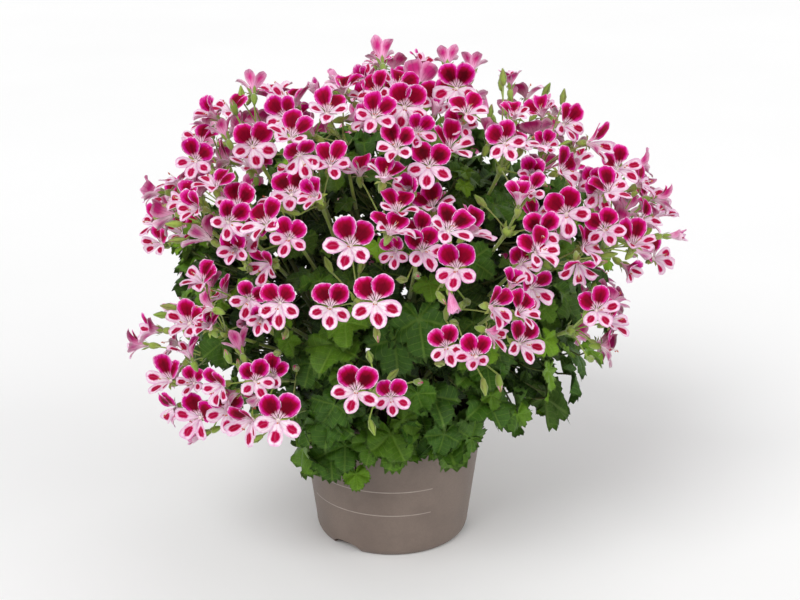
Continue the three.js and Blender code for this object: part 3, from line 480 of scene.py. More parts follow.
# Blooms that face the picture and are smaller than the others, by where their throats are seen
SMALLER_BLOOMS = {(446, 347): 0.8, (475, 355): 0.78, (391, 398): 0.78, (505, 143): 0.86}

# Trusses of the far side, each by its turn about the pot from +X and its height angle on the crown
BACK_TRUSSES = {
    "back_low_a": (28, -18), "back_low_b": (66, -22), "back_low_c": (104, -20), "back_low_d": (146, -16),
    "back_a": (10, 12), "back_b": (42, 10), "back_c": (76, 8), "back_d": (110, 12), "back_e": (142, 10),
    "back_f": (172, 14), "back_high_a": (50, 38), "back_high_b": (94, 36), "back_high_c": (136, 40),
    "back_top": (92, 66),
}
BACK_BLOOMS = 5
BACK_SPREAD = 31
BACK_SPREAD_SHARE = (0.9, 0.3)
BACK_MIDDLE_OFF = 4
BACK_BULGE = 6
BACK_BUD_OFF = (22, 16)

# How wide and how far forward a bloom is at each stage
FORM_RADIUS = {"open": 19.5, "half": 12, "furled": 5.5, "bud": 2.6}
FORM_FORWARD = {"open": 2.5, "half": 11, "furled": 15, "bud": 7}
DEEPER_TRIES = (0, 5, -5, 10, -10, 15, 20, 25, -15, 30, 36, 42, -20)
TURN_TRIES = (0, 0.25, 0.4, 0.55)
SIZE_TRIES = (1, 0.9, 0.8, 0.68)
BLOOM_SIZE = (0.94, 0.12)
PETAL_LIFT = (0.8, 0.4)
SIDE_SIZE = (0.8, 0.18)
LEAST_LEAN = 0.5
THROAT_DEPTH = 2.5
FIRST_CORNER = math.radians(40)
FOUND_WITHIN = 0.05
NEAR_SIDE = 40

# Blooms that face away are drawn half open and narrow, and the highest truss lower and smaller
AWAY_SHARE = 0.62
AWAY_NARROW = 0.68
TOP_DROP = 9
TOP_SHARE = 0.8

# The crown's outline in the picture, an oval with full corners: its middle, half its width and height
CROWN_OUTLINE = (414, 250, 262, 200)
CROWN_FULLNESS = 2.6
CROWN_FOOT = 330
OUTLINE_ROOM = 12
OUTLINE_STEPS = 4
PULLED_IN = 0.12
PULLED_SHARE = 0.96


def towards(start, end):
    return (end - start).normalized()


def inward(start, way, deeper):
    return start - way * deeper


def square_to(axis, wish):
    """The direction at a right angle to an axis that lies nearest to a wish."""
    return (wish - axis * wish.dot(axis)).normalized()


def place_on_shell(pixel, shell, deeper):
    """Where the line of sight of a pixel meets a shell, or comes nearest to it, and then deeper."""
    middle, radii = shell
    tilt = math.radians(VIEW_TILT)
    across = (pixel[0] - VIEW_MIDDLE[0]) / VIEW_FOCAL
    up = (VIEW_MIDDLE[1] - pixel[1]) / VIEW_FOCAL
    forward = math.cos(tilt) + up * math.sin(tilt)
    sight = Vector((across, forward, up * math.cos(tilt) - math.sin(tilt))).normalized()
    start = Vector([(a - b) / c for a, b, c in zip(EYE, middle, radii)])
    step = Vector([a / b for a, b in zip(sight, radii)])
    half = start.dot(step)
    square = step.length_squared
    rest = half * half - square * (start.length_squared - 1)
    return EYE + sight * ((-half - math.sqrt(max(rest, 0))) / square + deeper)


def seen_at(spot):
    """Where a spot is seen, in pixels of the picture."""
    tilt = math.radians(VIEW_TILT)
    sight = spot - EYE
    deep = sight.y * math.cos(tilt) - sight.z * math.sin(tilt)
    high = sight.y * math.sin(tilt) + sight.z * math.cos(tilt)
    return VIEW_MIDDLE[0] + VIEW_FOCAL * sight.x / deep, VIEW_MIDDLE[1] - VIEW_FOCAL * high / deep


def past_outline(spot, room):
    """Whether a spot is seen past the crown's outline, or nearer to it than this many pixels."""
    across, down = seen_at(spot)
    middle_x, middle_y, half_x, half_y = CROWN_OUTLINE
    off = (abs(across - middle_x) / (half_x - room)) ** CROWN_FULLNESS
    off += (abs(down - middle_y) / (half_y - room)) ** CROWN_FULLNESS
    return down < CROWN_FOOT and off > 1


def facing(word, spot, out, item):
    """The way that a bloom faces."""
    viewer = towards(spot, EYE)
    ways = {
        "out": out * 0.9 + viewer * (0.35 if spot.y < NEAR_SIDE else 0),
        "front": viewer + UP * 0.1,
        "away": Vector((out.x * 0.5, 0.75, 0.55)),
        "left": Vector((-1, -0.1, 0.15)),
        "right": Vector((1, -0.1, 0.15)),
        "up": Vector((out.x * 0.4, out.y * 0.4, 1)),
        "down": Vector((out.x * 0.5, -0.35, -0.9)),
    }
    share = 0.3 if word == "out" else 0.12
    return (ways[word].normalized() + unevenness(item, 20) * share).normalized()


def round_axis(face, up, angle):
    """The way out from the axis of a bloom at this angle, and the way on round it."""
    side = up.cross(face)
    return side * math.cos(angle) + up * math.sin(angle), up * math.cos(angle) - side * math.sin(angle)


def corners_of(node):
    """The corners of a solid in the frame, in millimetres, ready to be searched."""
    corners = [corner.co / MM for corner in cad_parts[node].data.vertices]
    tree = KDTree(len(corners))
    for number, corner in enumerate(corners):
        tree.insert(corner, number)
    tree.balance()
    return tree


def bloom_tries(item, wish, hub, out):
    """Each way that a bloom may stand, with one or two corners that its solid would have."""
    spot_at, way, form = wish
    forward = FORM_FORWARD[form]
    tries = [(size, turn, deeper) for size in SIZE_TRIES for turn in TURN_TRIES for deeper in DEEPER_TRIES]
    for number, (size, turn, deeper) in enumerate(tries):
        at = spot_at(deeper)
        rising = towards(hub, at)
        outward = (rising * 0.75 + out * 0.45).normalized()
        face = facing(way, at, outward, item)
        face = (face + unevenness(item, 100 + number) * turn).normalized()
        face = (face + rising * max(LEAST_LEAN - face.dot(rising), 0)).normalized()
        up = square_to(face, square_to(face, UP - out * 0.35) + unevenness(item, 30) * 0.25)
        radius = FORM_RADIUS[form] * size * within(BLOOM_SIZE, scatter(item, 10))
        if form in ("bud", "furled"):
            marks = (at + face * forward,)
        else:
            lift = forward * within(PETAL_LIFT, scatter(item, 0)) - 0.8
            flat, _ = round_axis(face, up, FIRST_CORNER)
            marks = (at - face * THROAT_DEPTH, at + flat * radius * 1.05 + face * lift)
        yield SimpleNamespace(at=at, face=face, up=up, radius=radius, form=form, item=item, narrow=1), marks


def find_bloom(tries, solid):
    """The first of the tries whose corners the solid has, or else the nearest to it."""
    nearest = None
    for bloom, marks in tries:
        miss = max(solid.find(mark)[2] for mark in marks)
        if nearest is None or miss < nearest[0]:
            nearest = (miss, bloom)
        if miss < FOUND_WITHIN:
            break
    return nearest[1]


def lay_truss(name, wishes):
    """One truss: its blooms, its knob and the foot of its stalk."""
    open_ones = [spot_at(0) for spot_at, _, form in wishes if form != "bud"]
    middle = sum(open_ones, Vector()) / len(open_ones)
    out = towards(HEART, middle)
    hub = middle - out * HUB_BELOW_BLOOMS
    solid = corners_of("truss_" + name)
    blooms = []
    for wish in wishes:
        item = next(bloom_numbers)
        bloom = find_bloom(bloom_tries(item, wish, hub, out), solid)
        _, way, form = wish
        if way == "away":
            bloom.form = "half"
            bloom.narrow = AWAY_NARROW
            bloom.radius *= AWAY_SHARE
        elif way != "front" and form == "open":
            bloom.radius *= within(SIDE_SIZE, scatter(item, 45))
            bloom.face = (bloom.face + unevenness(item, 500) * 0.4).normalized()
            bloom.up = square_to(bloom.face, bloom.up + unevenness(item, 503) * 0.3)
        blooms.append(bloom)
    foot = hub - out * PEDUNCLE
    return SimpleNamespace(name=name, hub=hub, foot=foot, out=out, blooms=blooms, extras=[])


bloom_numbers = count()
trusses = []
for name, seen in FRONT_TRUSSES.items():
    wishes = []
    for across, down, *words in seen:
        way, form = [*words, *("out", "open")[len(words):]]
        wishes.append((partial(place_on_shell, (across, down), BLOOM_SHELL), way, form))
    trusses.append(lay_truss(name, wishes))
    for bloom, throat in zip(trusses[-1].blooms, seen):
        bloom.radius *= SMALLER_BLOOMS.get(throat[:2], 1)
for name, angles in BACK_TRUSSES.items():
    turn, raised = (math.radians(angle) for angle in angles)
    out = at_turn(math.cos(raised), turn, math.sin(raised))
    middle = BLOOM_SHELL[0] + out * BLOOM_SHELL[1]
    side = square_to(out, Vector((-out.y, out.x, 0)))
    over = out.cross(side)
    wishes = []
    number = len(trusses)
    for bloom in range(BACK_BLOOMS):
        angle = (bloom + scatter(number, bloom)) * (math.tau / (BACK_BLOOMS - 1))
        spread = BACK_MIDDLE_OFF
        if bloom:
            spread = BACK_SPREAD * within(BACK_SPREAD_SHARE, scatter(number, bloom + 40))
        start = middle + side * (spread * math.cos(angle)) + over * (spread * math.sin(angle))
        start = start + out * (-BACK_BULGE if bloom else BACK_BULGE)
        form = "half" if scatter(number, bloom + 60) < 0.12 else "open"
        wishes.append((partial(inward, start, out), "out", form))
    beside = middle + side * BACK_BUD_OFF[0] + over * BACK_BUD_OFF[1]
    wishes.append((partial(inward, beside, over), "up", "bud"))
    trusses.append(lay_truss(name, wishes))

# The highest truss stands lower than its solid, and its blooms are smaller
for bloom in trusses[-1].blooms:
    bloom.at = bloom.at - UP * TOP_DROP
    bloom.radius *= TOP_SHARE

# Far blooms that would be seen past the crown's outline stand closer to their knobs, by up to four steps
for truss in trusses[len(FRONT_TRUSSES):]:
    for bloom in truss.blooms * OUTLINE_STEPS:
        if past_outline(bloom.at, OUTLINE_ROOM):
            bloom.at = bloom.at.lerp(truss.hub, PULLED_IN)
            bloom.radius *= PULLED_SHARE


# The shoots: soft stems, green above and corky brown at the foot, that fork into a branch for each truss.
# The leaves stand on petioles along the branches. The big ones are where the solids have theirs, and
# smaller ones fill the crown between them, as young leaves do.
STEM_DEPTH = 14
STEM_RING = 34
STEM_RADIUS = 4.4
STEM_STEPS = 8
SHOOT_TURNS = (-168, -134, -100, -62, -18, 50, 122)
MIDDLE_SHOOT_REACH = 56
BRANCH_RADII = (2.4, 2.1, 1.7)
BRANCH_STOPS = (0.35, 0.44, 0.53, 0.62, 0.71, 0.8, 0.89)
PETIOLE_RADIUS = 0.9
PETIOLE_LENGTHS = (20, 82)
LEAF_SHELL = (Vector((0, 0, 222)), Vector((180, 156, 130)))
LEAF_LENGTH = 38
SPIRAL_LENGTH = (0.75, 0.5)
LEAF_DEEPER = (0, 8, -8, 16)
SOLID_LEAF_HALF = 0.9

# Where the picture shows leaves: the pixels of their middles, and their lengths in millimetres
SEEN_LEAVES = (
    (445, 440, 50), (395, 442, 40), (345, 468, 24), (360, 482, 20), (305, 455, 40), (328, 428, 36),
    (492, 407, 38), (553, 401, 44), (575, 380, 34), (519, 412, 34), (437, 404, 36), (568, 303, 38),
    (586, 177, 20), (573, 170, 20), (300, 330, 40), (420, 330, 42), (470, 310, 40), (330, 350, 40),
    (395, 350, 42), (340, 215, 38), (470, 190, 38), (545, 330, 40), (250, 265, 38), (310, 270, 40),
)
SPIRAL_LEAVES = 151
SPIRAL_STRIDE = 64
MOST_LEAVES = 65
YOUNG_LEAVES = 640
FIRST_YOUNG = 1000
YOUNG_LENGTH = (14, 20)
YOUNG_DEPTH = (0.68, 0.36)
CLEAR_ABOVE_RIM = 12
CLEAR_ROUND_RIM = 22

# Leaves that hang before the pot's rim, by the pixels of their bases and their lengths
RIM_SHELL = (Vector((0, 0, 140)), Vector((106, 106, 150)))
RIM_LEAVES = ((330, 452, 34), (345, 446, 30), (356, 474, 20), (372, 441, 28), (398, 440, 38), (450, 432, 46))
FIRST_RIM = 2000

# A leaf's reach from its petiole, as a share of its length, at even turns from its tip round to the cut
LEAF_REACH = (1, 0.98, 0.93, 0.88, 0.84, 0.8, 0.74, 0.66, 0.5, 0.1)
LEAF_RINGS = (0.28, 0.56, 0.8, 1)
LEAF_HALF = 0.3
LEAF_TOOTH = 0.066
LEAF_PLEAT = 0.15
LEAF_SHARE = 0.72
SPIRAL_LEAF_SHARE = 0.64
LOBES = 5
OLD_SPOKES = 35
YOUNG_SPOKES = 30
SMALL_LEAF = 25
BIG_LEAF = 50
BLADE_SPAN = 2.4
LEAF_DROOP = (0.05, 0.3)
LEAF_CUP = (-0.15, 0.5)
LEAF_RUFFLE = (0.05, 0.07)
LEAF_CUT = (0.14, 0.16)
CUT_SHARPNESS = 9
FRESHNESS = (0.2, 0.6)
# Painted shade: leaves deep in the crown are painted darker, standing in for the shade among them; how fast
# it deepens inward, and the most of it
PAINTED_SHADE_DEEPENING = 3.2
MOST_PAINTED_SHADE = 0.8
UNDER_BLADE = 1.2


def curve_at(curve, share):
    """A point of a curve that leaves its first point for its second and ends at its third."""
    start, bend, end = curve
    return start.lerp(bend, share).lerp(bend.lerp(end, share), share)


def points_of(curve, steps):
    return [curve_at(curve, step / steps) for step in range(steps + 1)]


def lay_shoots():
    """Gives each truss to a shoot and runs the stems and branches."""
    made = []
    for number, degrees in enumerate((*SHOOT_TURNS, None)):
        turn = math.radians(degrees or 0)
        ring = 0 if degrees is None else STEM_RING
        base = at_turn(ring, turn, SOIL_TOP - STEM_DEPTH)
        name = f"shoot_{number + 1}"
        made.append(SimpleNamespace(name=name, turn=turn, base=base, trusses=[], branches=[], leaves=[]))
    for truss in trusses:
        foot = truss.foot
        turn = math.atan2(foot.y, foot.x)
        nearest = max(made[:-1], key=lambda shoot: math.cos(shoot.turn - turn))
        shoot = made[-1] if math.hypot(foot.x, foot.y) < MIDDLE_SHOOT_REACH else nearest
        shoot.trusses.append(truss)
    for shoot in made:
        feet = [truss.foot for truss in shoot.trusses]
        base = shoot.base
        fork = base.lerp(sum(feet, Vector()) / len(feet), 0.42)
        stem = shoot.stem = (base, base + UP * (fork.z - base.z) * 0.6, fork)
        shoot.trusses.sort(key=lambda truss: truss.foot.z)
        for place, truss in enumerate(shoot.trusses):
            root = curve_at(stem, 1 - 0.6 * (1 - (place + 1) / len(feet)))
            reach = (truss.foot - root).length
            shoot.branches.append((root, truss.foot - truss.out * reach * 0.5, truss.foot))
    return made


def nearest_branch(base, out, taken):
    """Where on a branch the petiole of a leaf springs, for the least bend."""
    found = None
    for shoot in shoots:
        for number, branch in enumerate(shoot.branches):
            for stop in BRANCH_STOPS:
                key = (shoot.name, number, stop)
                # A branch of the solids runs straight to its middle and straight on to its end
                low, high = (0, 0.5) if stop < 0.5 else (0.5, 1)
                point = curve_at(branch, low).lerp(curve_at(branch, high), (stop - low) / 0.5)
                span = base - point
                reach = span.length
                cost = reach * 2 - span.dot(out)
                fits = PETIOLE_LENGTHS[0] < reach < PETIOLE_LENGTHS[1] and span.dot(out) > 0.2 * reach
                if fits and key not in taken and (found is None or cost < found[2]):
                    found = (shoot, point, cost, key)
    return found


def laid_leaf(at, length, item, tried):
    """The blade of a leaf round this place: its base, its ways and its length."""
    out = towards(Vector((0, 0, 200)), at)
    normal = (out * 0.75 + UP * 0.55 + unevenness(item, 50 + tried * 3) * 0.5).normalized()
    blade = square_to(normal, Vector((out.x, out.y, -0.35)) + unevenness(item, 70) * 0.5)
    base = at - blade * length * 0.2
    return SimpleNamespace(base=base, blade=blade, normal=normal, length=length, item=item, bend=None), out


def lay_leaf(place, length, item):
    """Lays a leaf where the solids have it, if they do."""
    for tried, deeper in enumerate(LEAF_DEEPER):
        leaf, out = laid_leaf(place(deeper), length, item, tried)
        held = nearest_branch(leaf.base, out, bearing)
        if held is None:
            continue
        shoot, leaf.root = held[:2]
        if shoot.solid.find(leaf.base + leaf.normal * SOLID_LEAF_HALF)[2] < FOUND_WITHIN:
            bearing.add(held[3])
            shoot.leaves.append(leaf)
            return


shoots = lay_shoots()
bearing = set()
for shoot in shoots:
    shoot.solid = corners_of(shoot.name)
for item, (*pixel, length) in enumerate(SEEN_LEAVES):
    lay_leaf(partial(place_on_shell, pixel, LEAF_SHELL), length, item)
for number in range(SPIRAL_LEAVES):
    item = (number * SPIRAL_STRIDE) % SPIRAL_LEAVES
    height = 0.98 - 1.75 * (item + 0.5) / SPIRAL_LEAVES
    out = at_turn(math.sqrt(1 - height * height), item * math.pi * (3 - math.sqrt(5)), height)
    length = LEAF_LENGTH * within(SPIRAL_LENGTH, scatter(item, 90))
    if len(bearing) < MOST_LEAVES:
        start = LEAF_SHELL[0] + out * LEAF_SHELL[1]
        lay_leaf(partial(inward, start, out), length, item + len(SEEN_LEAVES))
for item in range(FIRST_YOUNG, FIRST_YOUNG + YOUNG_LEAVES):
    height = 1 - 1.72 * scatter(item, 1)
    out = at_turn(math.sqrt(1 - height * height), math.tau * scatter(item, 2), height)
    at = LEAF_SHELL[0] + out * LEAF_SHELL[1] * within(YOUNG_DEPTH, scatter(item, 3))
    if at.z < POT_HEIGHT + CLEAR_ABOVE_RIM and math.hypot(at.x, at.y) < RIM_RADIUS + CLEAR_ROUND_RIM:
        continue
    leaf, out = laid_leaf(at, within(YOUNG_LENGTH, scatter(item, 4)), item, 0)
    held = nearest_branch(leaf.base, out, ())
    if held:
        leaf.root = held[1]
        held[0].leaves.append(leaf)
for item, (*pixel, length) in enumerate(RIM_LEAVES, FIRST_RIM):
    base = place_on_shell(pixel, RIM_SHELL, 0)
    normal = (Vector((base.x / 200, -0.85, 0.42)) + unevenness(item, 1) * 0.25).normalized()
    blade = square_to(normal, Vector((base.x / 300, -0.3, -1)) + unevenness(item, 4) * 0.3)
    shoot, root = nearest_branch(base, towards(Vector((0, 0, 170)), base), ())[:2]
    leaf = SimpleNamespace(base=base, blade=blade, normal=normal, length=length, item=item, root=root)
    leaf.bend = base.lerp(root, 0.45) + UP * 16
    shoot.leaves.append(leaf)


class Growth:
    """A piece of the plant while it is put together, with the coordinates that its colours go by."""

    def __init__(self):
        self.bm = bmesh.new()
        self.across = self.bm.loops.layers.uv.new("blade")
        self.margin = self.bm.loops.layers.uv.new("margin")
        self.tone = self.bm.verts.layers.float_color.new("tone")

    def corner(self, point, tone):
        corner = self.bm.verts.new(point)
        corner[self.tone] = tone
        return corner

    def face(self, corners, marks, kind):
        face = self.bm.faces.new(corners)
        face.material_index = kind
        for loop, (across, margin) in zip(face.loops, marks):
            loop[self.across].uv = across
            loop[self.margin].uv = margin
        return face

    def blade(self, points, faces, rim, marks, half, kinds, tone):
        """A thin closed blade, one sheet of these faces before and one behind, that meet along the rim."""
        normals = [Vector() for _ in points]
        for face in faces:
            first, *_, last = (points[place] for place in face)
            normal = (points[face[1]] - first).cross(last - first)
            for place in face:
                normals[place] += normal
        rims = {place: self.corner(points[place], tone) for place in rim}
        front = set()
        for way, kind in zip((1, -1), kinds):
            sheet = [
                rims.get(place) or self.corner(point + normals[place].normalized() * half * way, tone)
                for place, point in enumerate(points)
            ]
            for face in faces:
                order = face[::way]
                made = self.face([sheet[place] for place in order], [marks[place] for place in order], kind)
                if way == 1:
                    front.add(made)
        for face in front:
            for edge in face.edges:
                edge.smooth = front.issuperset(edge.link_faces)

    def tube(self, path, radii, kind, tone, sides=6):
        """A stalk through these points with a radius at each, closed at both ends."""
        ways = [towards(before, after) for before, after in zip([path[0], *path], [*path[1:], path[-1]])]
        first = square_to(ways[0], Vector((0.31, 0.17, 0.93)))
        turns = [math.tau * side / sides for side in range(sides)]
        rings = []
        for point, way, radius in zip(path, ways, radii):
            first = square_to(way, first)
            second = way.cross(first)
            spots = [point + (first * math.cos(turn) + second * math.sin(turn)) * radius for turn in turns]
            rings.append([self.corner(spot, tone) for spot in spots])
        steps = len(rings) - 1
        for number, (low, high) in enumerate(zip(rings, rings[1:])):
            start, end = number / steps, (number + 1) / steps
            for side in range(sides):
                after = (side + 1) % sides
                quad = (low[side], low[after], high[after], high[side])
                spots = ((side, start), (side + 1, start), (side + 1, end), (side, end))
                self.face(quad, [((turn / sides, stop), (0.5, stop)) for turn, stop in spots], kind)
        for ring, way in ((rings[0], -1), (rings[-1], 1)):
            self.face(ring[::way], [((0.5, 0.5), (0.5, 0.5))] * sides, kind)


def eased(values, share):
    """A smooth run through evenly spaced values as the share goes from 0 to 1."""
    place = min(max(share, 0), 1) * (len(values) - 1)
    low = min(int(place), len(values) - 2)
    off = place - low
    off = off * off * (3 - 2 * off)
    return values[low] * (1 - off) + values[low + 1] * off


def grow_leaf(growth, leaf):
    """A rounded leaf of five broad lobes, pleated along its veins, with a toothed and ruffled margin."""
    item, root = leaf.item, leaf.root
    own = partial(scatter, item)
    base, blade, normal = leaf.base, leaf.blade, leaf.normal
    side = normal.cross(blade)
    from_spiral = len(SEEN_LEAVES) <= item < FIRST_YOUNG
    length = leaf.length * (SPIRAL_LEAF_SHARE if from_spiral else LEAF_SHARE)
    spokes = OLD_SPOKES if item < FIRST_YOUNG else YOUNG_SPOKES
    # Painted shade: the deeper a leaf sits in the crown, the darker its tone, with a little at random, and
    # the less fresh its green
    deep = 1 - Vector([off / radius for off, radius in zip(base - LEAF_SHELL[0], LEAF_SHELL[1])]).length
    shade = min(max(deep * PAINTED_SHADE_DEEPENING, 0), MOST_PAINTED_SHADE) + 0.2 * own(62)
    young = 0.45 * own(61) ** 2
    young += within(FRESHNESS, own(66)) if leaf.length < SMALL_LEAF else 0
    tone = (young * (1 - shade), shade, own(63), 1)
    phase = math.tau * own(64)
    droop = within(LEAF_DROOP, own(65))
    cupped = within(LEAF_CUP, own(67))
    ruffle = within(LEAF_RUFFLE, own(68))
    points = [base - normal * 0.6]
    marks = [((0.5, 0.5), (0, 0))]
    for ring in LEAF_RINGS:
        corners = spokes * 2 if ring == 1 else spokes
        for spoke in range(corners):
            angle = (spoke / corners * 2 - 1) * math.pi
            cut = abs(math.sin(angle * LOBES / 2)) ** CUT_SHARPNESS
            edge = eased(LEAF_REACH, abs(angle) / math.pi)
            edge *= 1 - within(LEAF_CUT, own(59)) * cut * ring**2
            if ring == 1:
                tooth = LEAF_TOOTH if spoke % 2 else -LEAF_TOOTH
                edge *= 1 + tooth + 0.09 * (scatter(item * 97 + spoke // 2, 69) - 0.5)
            reach = edge * ring * length
            x, y = reach * math.cos(angle), reach * math.sin(angle)
            wave = math.sin(angle * 5 + phase) * ruffle + math.sin(angle * 11 + phase * 2) * ruffle * 0.6
            pleat = LEAF_PLEAT * (math.cos(angle * LOBES) + 0.55 * math.cos(angle * LOBES * 2))
            pleat *= ring * (1.25 - 0.5 * ring)
            bowl = cupped * ring**2 * 0.5 - droop * (x / length) ** 2 * (x > 0) - 0.12 * (y / length) ** 2
            height = length * (wave * ring**2 - pleat + bowl + 0.05 * ring)
            points.append(base + blade * x + side * y + normal * height)
            blade_spot = (0.5 + x / length / BLADE_SPAN, 0.5 + y / length / BLADE_SPAN)
            marks.append((blade_spot, (ring, length / BIG_LEAF)))
    faces = []
    for spoke in range(spokes):
        after = (spoke + 1) % spokes
        faces.append((0, 1 + spoke, 1 + after))
        for low in (1, 1 + spokes):
            high = low + spokes
            faces.append((low + spoke, high + spoke, high + after, low + after))
        teeth = [high + spokes + place % (spokes * 2) for place in range(spoke * 2, spoke * 2 + 3)]
        faces.append((high + spoke, *teeth, high + after))
    rim = range(len(points) - spokes * 2, len(points))
    growth.blade(points, faces, rim, marks, LEAF_HALF, (0, 1), tone)
    under = base - normal * UNDER_BLADE
    bend = leaf.bend or under - normal * (under - root).length * 0.3
    thick = PETIOLE_RADIUS * (0.7 + leaf.length / 130)
    growth.tube(points_of((root, bend, under), 4), [thick * 1.3, thick, thick, thick, thick], 2, tone, 5)


def grow_shoot(shoot):
    """A shoot's stem, branches and leaves."""
    growth = Growth()
    item = int(shoot.name[-1]) + 400
    stops = [step / STEM_STEPS for step in range(STEM_STEPS + 1)]
    radii = [STEM_RADIUS * (1 - 0.2 * stop) for stop in stops]
    radii = [radius * (1.06 if place % 3 == 1 else 0.97) for place, radius in enumerate(radii)]
    tone = (0.2, scatter(item, 1), scatter(item, 2), 1)
    growth.tube(points_of(shoot.stem, STEM_STEPS), radii, 2, tone, 10)
    radii = [eased(BRANCH_RADII, stop) * (1.1 if place % 2 else 0.95) for place, stop in enumerate(stops)]
    for number, branch in enumerate(shoot.branches):
        tone = (0.35, scatter(item, number), scatter(item, number + 20), 1)
        growth.tube(points_of(branch, STEM_STEPS), radii, 2, tone, 7)
    for leaf in shoot.leaves:
        grow_leaf(growth, leaf)
    return growth


# Veins that run out from one point, with a fine net between them: UV of the blade in, three masks out
leaf_veins, ins, outs = new_group("leaf_veins", {"Blade": "Vector"}, ("Main", "Side", "Net"))
spot = vector_maths("SUBTRACT", ins["Blade"], (0.5, 0.5, 0))
wobble = put(leaf_veins, "TexNoise", Vector=ins["Blade"], Scale=9.0, Detail=2.0).outputs["Color"]
bent = parts_of(vector_maths("MULTIPLY_ADD", wobble, (0.03, 0.03, 0), spot))
x, y = (maths("SUBTRACT", bent[way], 0.015) for way in "XY")
angle = maths("DIVIDE", maths("ARCTAN2", y, x), math.radians(360 / LOBES))
off = maths("ABSOLUTE", maths("SUBTRACT", angle, maths("ROUND", angle)))
reach = vector_maths("LENGTH", spot, output="Value")
apart = times(off, reach)
feed(outs["Main"], rise(apart, 0.022, 0.004))
wave = maths("SINE", times(times_plus(apart, -0.75, reach), 95))
feed(outs["Side"], times(rise(wave, 0.86, 1), rise(apart, 0.0, 0.02)))
net = put(leaf_veins, "TexVoronoi", {"feature": "DISTANCE_TO_EDGE"}, Vector=ins["Blade"], Scale=30.0)
feed(outs["Net"], rise(net.outputs["Distance"], 0.14, 0.02))


def uv_of(tree, name):
    return put(tree, "UVMap", {"uv_map": name}).outputs[0]


def tone_of(tree):
    """The three parts of a leaf's or bloom's tone; a leaf's second part is its painted shade."""
    return parts_of(put(tree, "Attribute", {"attribute_name": "tone"}).outputs["Vector"])


def leaf_material(name, old, fresh, vein, rough):
    """Leaf green from old to fresh, with painted shade that darkens it deep in the crown, pale sunken veins
    and a soft down.
    """
    material, tree, patches, grain = new_material(name, (0.06, 0.14, 0.03, 1), 0.009, 0.0007)
    tone = tone_of(tree)
    veins = use_group(tree, leaf_veins, Blade=uv_of(tree, "blade"))
    body = mixed(tone["X"], old, fresh)
    # The dark green of the painted shade, which the fine vein net also takes
    shade_and_vein_net_green = mixed(0.8, body, rgb(12, 29, 3))
    # Painted shade: each leaf's shade from its tone, with random patches, mixes in the dark green
    body = mixed(times_plus(patches, 0.3, tone["Y"]), body, shade_and_vein_net_green)
    pale = mixed(0.4, body, vein)
    body = mixed(times(veins["Net"], 0.2), body, shade_and_vein_net_green)
    body = mixed(times(veins["Side"], 0.3), body, pale)
    body = mixed(times(veins["Main"], 0.42), body, pale)
    height = times_plus(veins["Net"], -0.25, times(veins["Side"], -0.35))
    height = times_plus(veins["Main"], -0.6, height)
    height = times_plus(grain, 0.2, height)
    down = {"Specular_IOR_Level": 0.32, "Sheen_Weight": 0.03, "Sheen_Roughness": 0.5}
    return dressed(material, body, times_plus(grain, 0.2, rough), (height, 0.7, 0.0006), **down)


def stem_material():
    """Green stalks with brown patches and a fine grain, corky brown near the substrate."""
    material, tree, patches, grain = new_material("stem_skin", (0.1, 0.16, 0.04, 1), 0.006, 0.0006)
    body = mixed(tone_of(tree)["Y"], rgb(70, 96, 38), rgb(104, 126, 52))
    body = mixed(times(patches, 0.4), body, rgb(120, 92, 58))
    spot = parts_of(put(tree, "TexCoord").outputs["Object"])
    cork = rise(times_plus(patches, 0.03, spot["Z"]), 0.175, 0.135)
    body = mixed(cork, body, mixed(grain, rgb(66, 50, 36), rgb(116, 92, 68)))
    return dressed(material, body, times_plus(cork, 0.3, 0.5), (grain, 0.5, 0.0005))


shoot_materials = [
    leaf_material("leaf_upper_face", rgb(62, 108, 8), rgb(146, 200, 30), rgb(166, 204, 84), 0.42),
    leaf_material("leaf_under_face", rgb(84, 124, 44), rgb(146, 186, 74), rgb(180, 204, 116), 0.6),
    stem_material(),
]
for shoot in shoots:
    finished(grow_shoot(shoot).bm, shoot.name + "_leafy", shoot_materials, shoot.name)


# The trusses: on each stalk a knob with bracts, and from it a pedicel to every bloom and bud. A bloom has
# two broad upper petals and three narrow lower ones on claws, a green calyx of five sepals behind them,
# and a few stamens in its pale throat.
PEDUNCLE_RADIUS = 1.5
# How far along a stalk a stop is, and how thick it is there, as shares
PEDUNCLE_FORM = ((0, 1.15), (0.25, 1), (0.5, 0.95), (0.75, 0.95), (0.93, 1.3), (1, 2.3))
KNOB_RADIUS = 4.5
BRACTS = 6
BRACT_HALF = 0.2
BRACT_WIDTHS = (1.5, 1.7)
BRACT_REACH = (6.5, 2)
PEDICEL_RADIUS = 0.62
PEDICEL_SHARES = (1.4, 1, 0.95, 1, 1.3)
PEDICEL_RISE = 1.5
KNEE_BELOW = 0.5
KNEE_REACH = 2.3
CALYX = 6
SEPALS = 5
SEPAL_HALF = 0.22
SEPAL_REACH = (0.85, 0.3)
PINK_TIPPED = 0.45
STAMENS = 4
STAMEN_REACH = (6, 2.5)
FILAMENT_RADII = (0.3, 0.24, 0.18)
ANTHER_RADII = (0.45, 0.36)
PETAL_HALF = 0.14
CLOSED_WIDTH = {"half": 15, "furled": 12}

# How the petals vary, the narrow lower ones twice as much in their reach and turn as the upper ones
PETAL_WIDTH = (0.92, 0.16)
PETAL_CUP = (-0.8, 3.2)
PETAL_CURL = (-1.2, 3.4)
PETAL_ROLL = 0.7
REACH_STRAY = 0.08
TURN_STRAY = 9
BLOOM_CLOSING = 7
PETAL_CLOSING = 5
UPPER, LOWER, UPPER_BACK, LOWER_BACK, GREEN, PALE, ANTHER = range(7)

